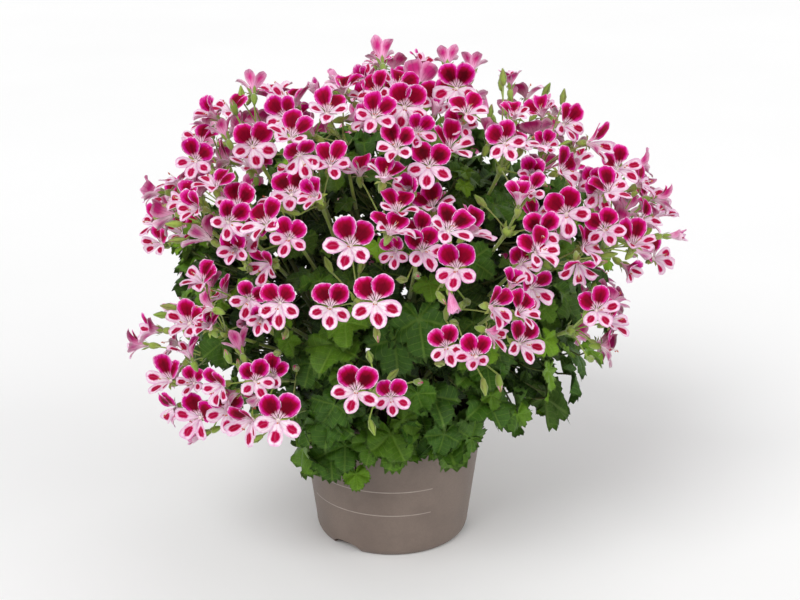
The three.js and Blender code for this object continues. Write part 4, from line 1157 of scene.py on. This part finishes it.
# The turn of each petal about the throat, its reach and half width as shares of the bloom's radius,
# how far it stands before the others in millimetres, and its kind
PETALS = (
    (57, 1.06, 0.46, 0.5, UPPER), (123, 1.06, 0.46, -0.1, UPPER),
    (205, 0.94, 0.305, -0.3, LOWER), (270, 1, 0.305, 0.2, LOWER), (335, 0.94, 0.305, -0.3, LOWER),
)
PETAL_ROWS = (0, 0.12, 0.26, 0.42, 0.6, 0.77, 0.91, 1)
PETAL_COLUMNS = (-1, -0.74, -0.4, 0, 0.4, 0.74, 1)
PETAL_WIDTHS = {
    UPPER: (0.09, 0.14, 0.34, 0.76, 0.98, 0.97, 0.85, 0.74),
    LOWER: (0.17, 0.28, 0.5, 0.76, 0.95, 1, 0.88, 0.7),
}
TIP_ARC = {UPPER: 0.16, LOWER: 0.1}

# For each stage, how far out a petal has come at even steps along it, as a share of its reach, how far
# forward as a share of the bloom's own, and how much it wraps about the bloom's axis
STAGES = {
    "open": ((0.07, 0.14, 0.28, 0.46, 0.65, 0.84, 1), (-2, -1.2, -0.3, 0.5, 0.95, 1.15, 0.9), 0),
    "half": ((0.08, 0.15, 0.26, 0.42, 0.62, 0.84, 1.05), (-0.45, -0.1, 0.25, 0.55, 0.8, 1, 1.08), 0.75),
    "furled": ((0.16, 0.26, 0.38, 0.52, 0.68, 0.84, 0.8), (-0.3, 0, 0.26, 0.5, 0.72, 0.9, 1), 0.9),
}

# For each stage, how far out and how far forward a sepal is at its foot, its middle and its tip
SEPAL_BENDS = {
    "open": ((2, 5.2, 8), (-4.8, -4.4, -6.2)), "half": ((1.8, 3.6, 5.4), (-5, -1.5, 1.4)),
    "furled": ((1.6, 2.6, 3), (-5, -1, 3)), "bud": ((1.4, 2.6, 0.5), (-5, 1, 8.2)),
}

# How far forward and how wide a bud is, from its foot to its tip, and likewise a calyx with its spur
BUD_FORM = ((-6.2, 0.8), (-4.8, 2.1), (-1, 2.9), (3, 2.4), (6, 1.2), (7.6, 0.3))
CALYX_FORM = ((-14.5, 0.8), (-12, 2.1), (-8.8, 3), (-6.4, 2.7), (-4.8, 1.8))
THROAT_FORM = ((-5.2, 1.9), (-4.4, 2))

# The lesser blooms: how many numbers are kept for each truss, then for each part of the crown how many
# places are tried, how many blooms a truss takes and how far apart they rise. After that the running share
# of each stage among them, and the room that each stage needs
EXTRA_STRIDE = 90
EXTRA_LIMITS = {"front": (20, 3, 14), "back": (40, 11, 30), "top": (160, 26, 40)}
EXTRA_SHARES = {"open": 0.24, "half": 0.52, "furled": 0.68, "bud": 1}
EXTRA_GAPS = {"open": 21, "half": 17, "furled": 14, "bud": 9}
EXTRA_LEAN = 1.4
EXTRA_RISE = 25
EXTRA_ROOM = 13
EXTRA_SIZE = (0.74, 0.24)
FIRST_EXTRA = 3000
NEIGHBOURS_WITHIN = 90
HIDING_DEPTH = 4
HIDING_WIDTH = 15
BESIDE_BUD = 0.4
TOP_TILT = Vector((0, 0.6, 0))

# Where the picture shows leaves and shade rather than blooms: middle and half size, in its pixels
LEAFY_SPOTS = (
    (430, 290, 115, 85), (345, 215, 48, 38), (480, 200, 42, 44), (560, 320, 58, 80), (400, 420, 150, 62),
    (320, 340, 70, 45), (340, 130, 22, 16), (500, 250, 40, 40),
)
LEAFY_DEPTH = 30


def in_the_way(at, others, apart):
    """Whether a bloom here would touch another, hide it or the leaves, or be seen past the outline."""
    across, down = seen_at(at)
    offs = [((across - x) / half_x, (down - y) / half_y) for x, y, half_x, half_y in LEAFY_SPOTS]
    before_leaves = at.y < LEAFY_DEPTH and any(x**2 + y**2 < 1 for x, y in offs)
    if past_outline(at, EXTRA_ROOM) or before_leaves and apart > EXTRA_GAPS["bud"]:
        return True
    sight = towards(at, EYE)
    for other in others:
        gap = at - other.at
        bud = other.form == "bud"
        before = gap.dot(sight)
        hides = before > -HIDING_DEPTH and not bud and (gap - sight * before).length < HIDING_WIDTH
        if hides or gap.length < apart * (BESIDE_BUD if bud else 1):
            return True
    return False


def extra_blooms(truss, number):
    """The lesser blooms of a truss, which stand lower between those that the picture shows well."""
    hub, out = truss.hub, truss.out
    side = square_to(out, Vector((0.1, 0.2, 1)))
    part = "front" if truss.name in FRONT_TRUSSES else "back"
    if truss.name == "back_top":
        part = "top"
        out = (out - TOP_TILT).normalized()
    tries, most, spread = EXTRA_LIMITS[part]
    over = out.cross(side)
    first = FIRST_EXTRA + number * EXTRA_STRIDE
    for item in range(first, first + tries):
        lean = EXTRA_LEAN * math.sqrt(scatter(item, 1))
        turn = math.tau * scatter(item, 2)
        rising = out * math.cos(lean) + (side * math.cos(turn) + over * math.sin(turn)) * math.sin(lean)
        at = hub + rising * (EXTRA_RISE + spread * scatter(item, 3))
        chance = scatter(item, 4)
        form = next(form for form, share in EXTRA_SHARES.items() if chance < share)
        near = [bloom for bloom in all_blooms if (bloom.at - at).length < NEIGHBOURS_WITHIN]
        if len(truss.extras) >= most:
            return
        if in_the_way(at, near, EXTRA_GAPS[form]):
            continue
        face = (rising * 0.8 + out * 0.3 + unevenness(item, 5) * 0.55).normalized()
        up = square_to(face, UP - out * 0.3 + unevenness(item, 30) * 0.3)
        radius = FORM_RADIUS[form] * within(EXTRA_SIZE, scatter(item, 8))
        bloom = SimpleNamespace(at=at, face=face, up=up, radius=radius, form=form, item=item, narrow=1)
        truss.extras.append(bloom)
        all_blooms.append(bloom)


def grow_petal(growth, bloom, petal, tone):
    """One petal of a bloom, cupped and a little waved."""
    turn, reach, width, before, kind = PETALS[petal]
    own = partial(scatter, bloom.item * len(PETALS) + petal)
    outs, rises, wrap = STAGES[bloom.form]
    at, face, up = bloom.at, bloom.face, bloom.up
    side = up.cross(face)
    loose = 2 if kind == LOWER else 1
    reach *= bloom.radius * (1 + REACH_STRAY * loose * (own(310) - 0.5))
    width *= CLOSED_WIDTH.get(bloom.form, bloom.radius)
    width *= within(PETAL_WIDTH, own(301)) * bloom.narrow
    lift = FORM_FORWARD[bloom.form] * within(PETAL_LIFT, scatter(bloom.item, petal))
    turn = math.radians(turn + TURN_STRAY * loose * (own(302) - 0.5))
    _, beside = round_axis(face, up, turn)
    cup = within(PETAL_CUP, own(303))
    curl = within(PETAL_CURL, own(304))
    phase = math.tau * own(305)
    roll = (own(308) - 0.5) * PETAL_ROLL * width
    closed = 0
    if bloom.form == "open":
        closed = BLOOM_CLOSING * scatter(bloom.item, 307) ** 2 + PETAL_CLOSING * own(309) - 2
    points, marks = [], []
    for share, wide in zip(PETAL_ROWS, PETAL_WIDTHS[kind]):
        wide *= 1 + 0.035 * math.sin(share * 9 + phase)
        for column in PETAL_COLUMNS:
            along = share * (1 - TIP_ARC[kind] * column**2 * share)
            along *= 1 + 0.022 * share**2 * math.sin(column * 4 + phase * 2)
            across = width * wide * column
            out = eased(outs, along) * reach
            angle = turn + wrap * across / max(out, 2.5)
            over = eased(rises, along) * lift + before
            over += cup * column**2 * wide - curl * share**3 + closed * share**1.5
            over += roll * column * wide * share
            over += 0.7 * math.sin(column * 2.8 + share * 4 + phase) * share
            spot = at + side * math.cos(angle) * out + up * math.sin(angle) * out + face * over
            spot += beside * across * (1 - wrap)
            points.append(spot)
            margin = min((1 - abs(column)) * width * wide, (1 - share) * reach * 0.9)
            marks.append(((0.5 + across / reach, along), (margin / 10, own(306))))
    rows, columns = len(PETAL_ROWS), len(PETAL_COLUMNS)
    faces = []
    for row in range(rows - 1):
        for column in range(columns - 1):
            low = row * columns + column
            faces.append((low, low + 1, low + columns + 1, low + columns)[::-1])
    rim = {*range(columns), *range((rows - 1) * columns, rows * columns)}
    rim.update(row * columns for row in range(rows))
    rim.update(row * columns + columns - 1 for row in range(rows))
    growth.blade(points, faces, rim, marks, PETAL_HALF, (kind, kind + UPPER_BACK), tone)


def grow_pointed(growth, points, half, tone):
    """A small green blade: three corners across its foot, three across its middle, and its tip."""
    faces = [(1, 0, 3, 4), (2, 1, 4, 5), (4, 3, 6), (5, 4, 6)]
    marks = [((0.5, place / 6), (0.5, place / 6)) for place in range(7)]
    growth.blade(points, faces, (0, 1, 2, 3, 5, 6), marks, half, (GREEN, GREEN), tone)


def grow_sepals(growth, bloom, tone):
    """Five pointed sepals, bent back behind an open bloom."""
    at, face = bloom.at, bloom.face
    outs, rises = SEPAL_BENDS[bloom.form]
    for sepal in range(SEPALS):
        seed = bloom.item * SEPALS + sepal
        angle = math.radians(90 + sepal * 360 / SEPALS + 14 * (scatter(seed, 311) - 0.5))
        out, across = round_axis(face, bloom.up, angle)
        points = []
        for place, half in ((0, 0.9), (1, 1.5)):
            middle = at + out * outs[place] + face * rises[place]
            points += [middle - across * half, middle + (out + face) * 0.25, middle + across * half]
        points.append(at + out * (outs[2] * within(SEPAL_REACH, scatter(seed, 312))) + face * rises[2])
        grow_pointed(growth, points, SEPAL_HALF, tone)


def grow_form(growth, bloom, form, share, kind, tone, sides):
    """A round part of a bloom along its axis, from how far forward and how wide it is at each stop."""
    path = [bloom.at + bloom.face * stop for stop, _ in form]
    growth.tube(path, [radius * share for _, radius in form], kind, tone, sides)


def grow_bloom(growth, bloom, hub):
    """A bloom or a bud on its pedicel."""
    item, form, at, face = bloom.item, bloom.form, bloom.at, bloom.face
    tone = (scatter(item, 41), scatter(item, 42), scatter(item, 43), 1)
    seat = at - face * CALYX
    knee = at - face * CALYX * KNEE_REACH
    bend = knee if towards(hub, at).dot(face) < KNEE_BELOW else hub.lerp(seat, 0.5) + UP * PEDICEL_RISE
    start = hub + towards(hub, bend) * KNOB_RADIUS * 0.6
    radii = [PEDICEL_RADIUS * share for share in PEDICEL_SHARES]
    growth.tube(points_of((start, bend, seat), 4), radii, GREEN, tone, 5)
    if form == "bud":
        grown = bloom.radius / FORM_RADIUS["bud"]
        tip = UPPER_BACK if scatter(item, 44) < PINK_TIPPED else GREEN
        grow_form(growth, bloom, BUD_FORM[:4], grown, GREEN, tone, 6)
        grow_form(growth, bloom, BUD_FORM[3:], grown * 0.96, tip, tone, 6)
        grow_sepals(growth, bloom, tone)
        return
    grow_form(growth, bloom, CALYX_FORM, 1, GREEN, tone, 7)
    grow_form(growth, bloom, THROAT_FORM, 1, PALE, tone, 6)
    grow_sepals(growth, bloom, tone)
    for petal in range(len(PETALS)):
        grow_petal(growth, bloom, petal, tone)
    if form == "furled":
        return
    for stamen in range(STAMENS):
        seed = item * STAMENS + stamen
        angle = math.radians(70 + 40 * stamen / 3 + 180 + 30 * (scatter(seed, 321) - 0.5))
        out, _ = round_axis(face, bloom.up, angle)
        reach = within(STAMEN_REACH, scatter(seed, 322))
        path = [at - face * THROAT_DEPTH, at + face * reach * 0.5 + out * 0.8, at + face * reach + out * 2.6]
        growth.tube(path, FILAMENT_RADII, PALE, tone, 3)
        tip = path[-1]
        growth.tube([tip - face * 0.2, tip + (face + out) * 0.7], ANTHER_RADII, ANTHER, tone, 4)


def grow_truss(truss):
    """A whole truss."""
    growth = Growth()
    hub, foot, out = truss.hub, truss.foot, truss.out
    seed = int(hub.x * 7 + hub.z * 13) % 1000
    tone = (0.5, scatter(seed, 1), scatter(seed, 2), 1)
    path = [foot.lerp(hub, stop) for stop, _ in PEDUNCLE_FORM]
    growth.tube(path, [PEDUNCLE_RADIUS * thick for _, thick in PEDUNCLE_FORM], GREEN, tone, 6)
    form = Matrix.Translation(hub) @ Matrix.Scale(KNOB_RADIUS * 0.95, 4)
    ball = bmesh.ops.create_icosphere(growth.bm, subdivisions=2, radius=1, matrix=form)
    for corner in ball["verts"]:
        corner[growth.tone] = tone
        for face in corner.link_faces:
            face.material_index = GREEN
    side = square_to(out, Vector((0.2, 0.3, 0.9)))
    for bract in range(BRACTS):
        away = Quaternion(out, math.tau * (bract + 0.4 * scatter(seed + bract, 5)) / BRACTS) @ side
        across = out.cross(away)
        low = hub + away * 3.6 - out * 1.5
        tip = hub + away * within(BRACT_REACH, scatter(seed + bract, 6)) + out * 4.5
        middle = low.lerp(tip, 0.5) - out * 0.8
        foot_half, middle_half = (across * width for width in BRACT_WIDTHS)
        points = [low - foot_half, low, low + foot_half]
        points += [middle - middle_half, middle + away * 0.3, middle + middle_half, tip]
        grow_pointed(growth, points, BRACT_HALF, tone)
    for bloom in truss.blooms + truss.extras:
        grow_bloom(growth, bloom, hub)
    return growth


# Feathery veins that fan out from a petal's claw, few and broad with finer ones between them further out
petal_veins, ins, outs = new_group("petal_veins", {"Blade": "Vector"}, ("Veins",))
blade = parts_of(ins["Blade"])
wobble = put(petal_veins, "TexNoise", Vector=ins["Blade"], Scale=7.0, Detail=3.0).outputs["Fac"]
off = maths("ADD", blade["X"], times_plus(wobble, 0.14, -0.57))
fan = maths("DIVIDE", off, maths("ADD", blade["Y"], 0.12))
few, many = (maths("ABSOLUTE", maths("SINE", times(fan, number))) for number in (11, 45))
fine = times(rise(many, 0.35, 0.0), rise(blade["Y"], 0.35, 0.6))
feed(outs["Veins"], maths("MAXIMUM", rise(few, 0.55, 0.1), times(fine, 0.7)))


def petal_material(name, viewport, rough, paint, *colours):
    """A petal face with a fine relief, whose colour comes from its paint function."""
    material, tree, patches, grain = new_material(name, viewport, 0.004, 0.0006)
    blade = uv_of(tree, "blade")
    veins = use_group(tree, petal_veins, Blade=blade)["Veins"]
    margin = parts_of(uv_of(tree, "margin"))["X"]
    colour = paint(tone_of(tree), patches, veins, margin, parts_of(blade), *colours)
    relief = (times_plus(veins, -0.5, times(grain, 0.4)), 0.45, 0.0003)
    rough = times_plus(grain, 0.15, rough)
    return dressed(material, colour, rough, relief, Specular_IOR_Level=0.06)


def upper_paint(tone, patches, veins, margin, blade):
    """Crimson heart that fades through magenta and pink to a thin white margin, and a veined pale claw."""
    margin = times_plus(veins, 0.05, times_plus(patches, 0.06, margin))
    pink = mixed(tone["Y"], rgb(232, 96, 182), rgb(220, 52, 158))
    colour = mixed(rise(margin, 0.05, 0.13), rgb(246, 208, 234), pink)
    ring = mixed(tone["Z"], rgb(214, 8, 118), rgb(200, 6, 134))
    colour = mixed(rise(margin, 0.09, 0.28), colour, ring)
    colour = mixed(rise(margin, 0.22, 0.44), colour, rgb(174, 0, 56))
    heart = mixed(tone["X"], rgb(82, 0, 14), rgb(132, 0, 36))
    colour = mixed(rise(times_plus(blade["Y"], -0.3, margin), 0.03, 0.5), colour, heart)
    claw = mixed(veins, rgb(240, 216, 226), rgb(72, 0, 34))
    colour = mixed(rise(times_plus(veins, 0.12, blade["Y"]), 0.22, 0.4), claw, colour)
    near_claw = times(veins, rise(blade["Y"], 0.75, 0.3))
    return mixed(times(near_claw, 0.75), colour, rgb(84, 0, 32))


def lower_paint(tone, patches, veins, margin, blade):
    """White with a lilac breath at the margin, and one crimson blotch with a magenta halo."""
    white = mixed(tone["Y"], rgb(250, 238, 246), rgb(243, 220, 236))
    lilac = mixed(tone["X"], rgb(234, 184, 220), rgb(222, 146, 200))
    edge = rise(times_plus(patches, 0.12, margin), 0.24, 0.03)
    colour = mixed(times(edge, 0.8), white, lilac)
    wide = maths("DIVIDE", maths("SUBTRACT", blade["X"], 0.5), 0.135)
    long = maths("DIVIDE", maths("SUBTRACT", blade["Y"], 0.66), 0.17)
    off = maths("ADD", maths("POWER", wide, 2), maths("POWER", long, 2))
    off = times_plus(veins, -0.35, times_plus(patches, -0.6, off))
    colour = mixed(rise(off, 1.9, 0.6), colour, rgb(218, 48, 146))
    heart = mixed(tone["Z"], rgb(160, 0, 40), rgb(178, 0, 62))
    colour = mixed(rise(off, 0.95, 0.55), colour, heart)
    return mixed(times(veins, 0.22), colour, rgb(206, 100, 150))


def back_paint(tone, _, veins, margin, blade, pale, through):
    """A washed-out back, paler at its margin and claw, with the dark face showing through."""
    shows = times(rise(margin, 0.04, 0.4), rise(blade["Y"], 0.25, 0.6))
    colour = mixed(shows, mixed(tone["Y"], *pale), mixed(tone["X"], *through))
    return mixed(times(veins, 0.35), colour, rgb(168, 60, 116))


def green_skin():
    """Bright green pedicels, calyces and buds, flushed here and there with brown, and softly downy."""
    material, tree, patches, grain = new_material("calyx_skin", (0.2, 0.33, 0.08, 1), 0.005, 0.0005)
    tone = tone_of(tree)
    colour = mixed(tone["Z"], rgb(130, 164, 46), rgb(170, 198, 78))
    colour = mixed(times(patches, times(tone["X"], 0.55)), colour, rgb(138, 92, 74))
    rough = times_plus(grain, 0.2, 0.5)
    return dressed(material, colour, rough, (grain, 0.5, 0.0004), Sheen_Weight=0.4)


def plain_skin(name, low, high, rough):
    """A small part of two near colours."""
    material, _, patches, grain = new_material(name, high, 0.002, 0.0004)
    rough = times_plus(grain, 0.2, rough)
    return dressed(material, mixed(patches, low, high), rough, (grain, 0.3, 0.0003))


BACK_VIEWPORT = (0.8, 0.55, 0.68, 1)
upper_colours = ((rgb(252, 190, 224), rgb(248, 158, 208)), (rgb(232, 62, 152), rgb(210, 34, 128)))
lower_colours = ((rgb(255, 228, 242), rgb(253, 208, 232)), (rgb(240, 138, 198), rgb(228, 92, 168)))
truss_materials = [
    petal_material("upper_petal_face", (0.5, 0.03, 0.16, 1), 0.5, upper_paint),
    petal_material("lower_petal_face", (0.9, 0.75, 0.83, 1), 0.52, lower_paint),
    petal_material("upper_petal_back", BACK_VIEWPORT, 0.58, back_paint, *upper_colours),
    petal_material("lower_petal_back", BACK_VIEWPORT, 0.58, back_paint, *lower_colours),
    green_skin(),
    plain_skin("filament_skin", rgb(246, 228, 222), rgb(252, 244, 236), 0.5),
    plain_skin("anther_skin", rgb(196, 84, 62), rgb(222, 132, 92), 0.7),
]
all_blooms = [bloom for truss in trusses for bloom in truss.blooms]
for number, truss in enumerate(trusses):
    extra_blooms(truss, number)
for truss in trusses:
    node = "truss_" + truss.name
    finished(grow_truss(truss).bm, node + "_blooms", truss_materials, node)


# The plain pale ground that the plant is shown on, which runs out far behind it. Three broad studio lamps
# and a near white room light the plant softly, and the camera stands where the picture was taken.
FLOOR_REACH = 20000
ROOM_SEEN = 1
ROOM_LIGHT = 0.45
PICTURE_WIDTH = 800
SENSOR = 36


def lamp(name, way, power, spread):
    """A soft far lamp that shines from this way."""
    data = bpy.data.lights.new(name, "SUN")
    data.energy = power
    data.angle = math.radians(spread)
    placed(name, data).rotation_euler = Vector(way).to_track_quat("Z", "Y").to_euler()


bm = bmesh.new()
bmesh.ops.create_grid(bm, x_segments=4, y_segments=4, size=FLOOR_REACH)
material, _, patches, _ = new_material("pale_ground", (0.9, 0.9, 0.9, 1), 0.9, 0.004)
ground = dressed(material, mixed(patches, rgb(244, 244, 244), rgb(247, 247, 247)), 0.9)
floor = shown(bm, "floor", [ground])

lamp("key_lamp", (-0.5, -0.75, 0.95), 1.7, 34)
lamp("fill_lamp", (0.85, -0.45, 0.5), 0.85, 50)
lamp("rim_lamp", (0.3, 0.9, 0.8), 0.6, 40)

# The room is near white to look at, but lights the plant more softly than that
world = bpy.data.worlds.new("soft_room")
world.use_nodes = True
room = world.node_tree
dim = room.nodes["Background"]
seen = put(room, "Background")
for shader, power in ((dim, ROOM_LIGHT), (seen, ROOM_SEEN)):
    feed(shader.inputs["Color"], (1, 1, 1, 1))
    feed(shader.inputs["Strength"], power)
mix = put(room, "MixShader", Fac=put(room, "LightPath").outputs["Is Camera Ray"])
feed(mix.inputs[1], dim.outputs[0])
feed(mix.inputs[2], seen.outputs[0])
feed(room.nodes["World Output"].inputs["Surface"], mix.outputs[0])
bpy.context.scene.world = world

lens = bpy.data.cameras.new("photo_camera")
lens.sensor_width = SENSOR
lens.lens = VIEW_FOCAL / PICTURE_WIDTH * SENSOR
lens.clip_end = 30
camera = placed("photo_camera", lens)
camera.location = EYE * MM
camera.rotation_euler = (math.radians(90 - VIEW_TILT), 0, 0)
bpy.context.scene.camera = camera
bpy.context.scene.view_settings.view_transform = "Standard"
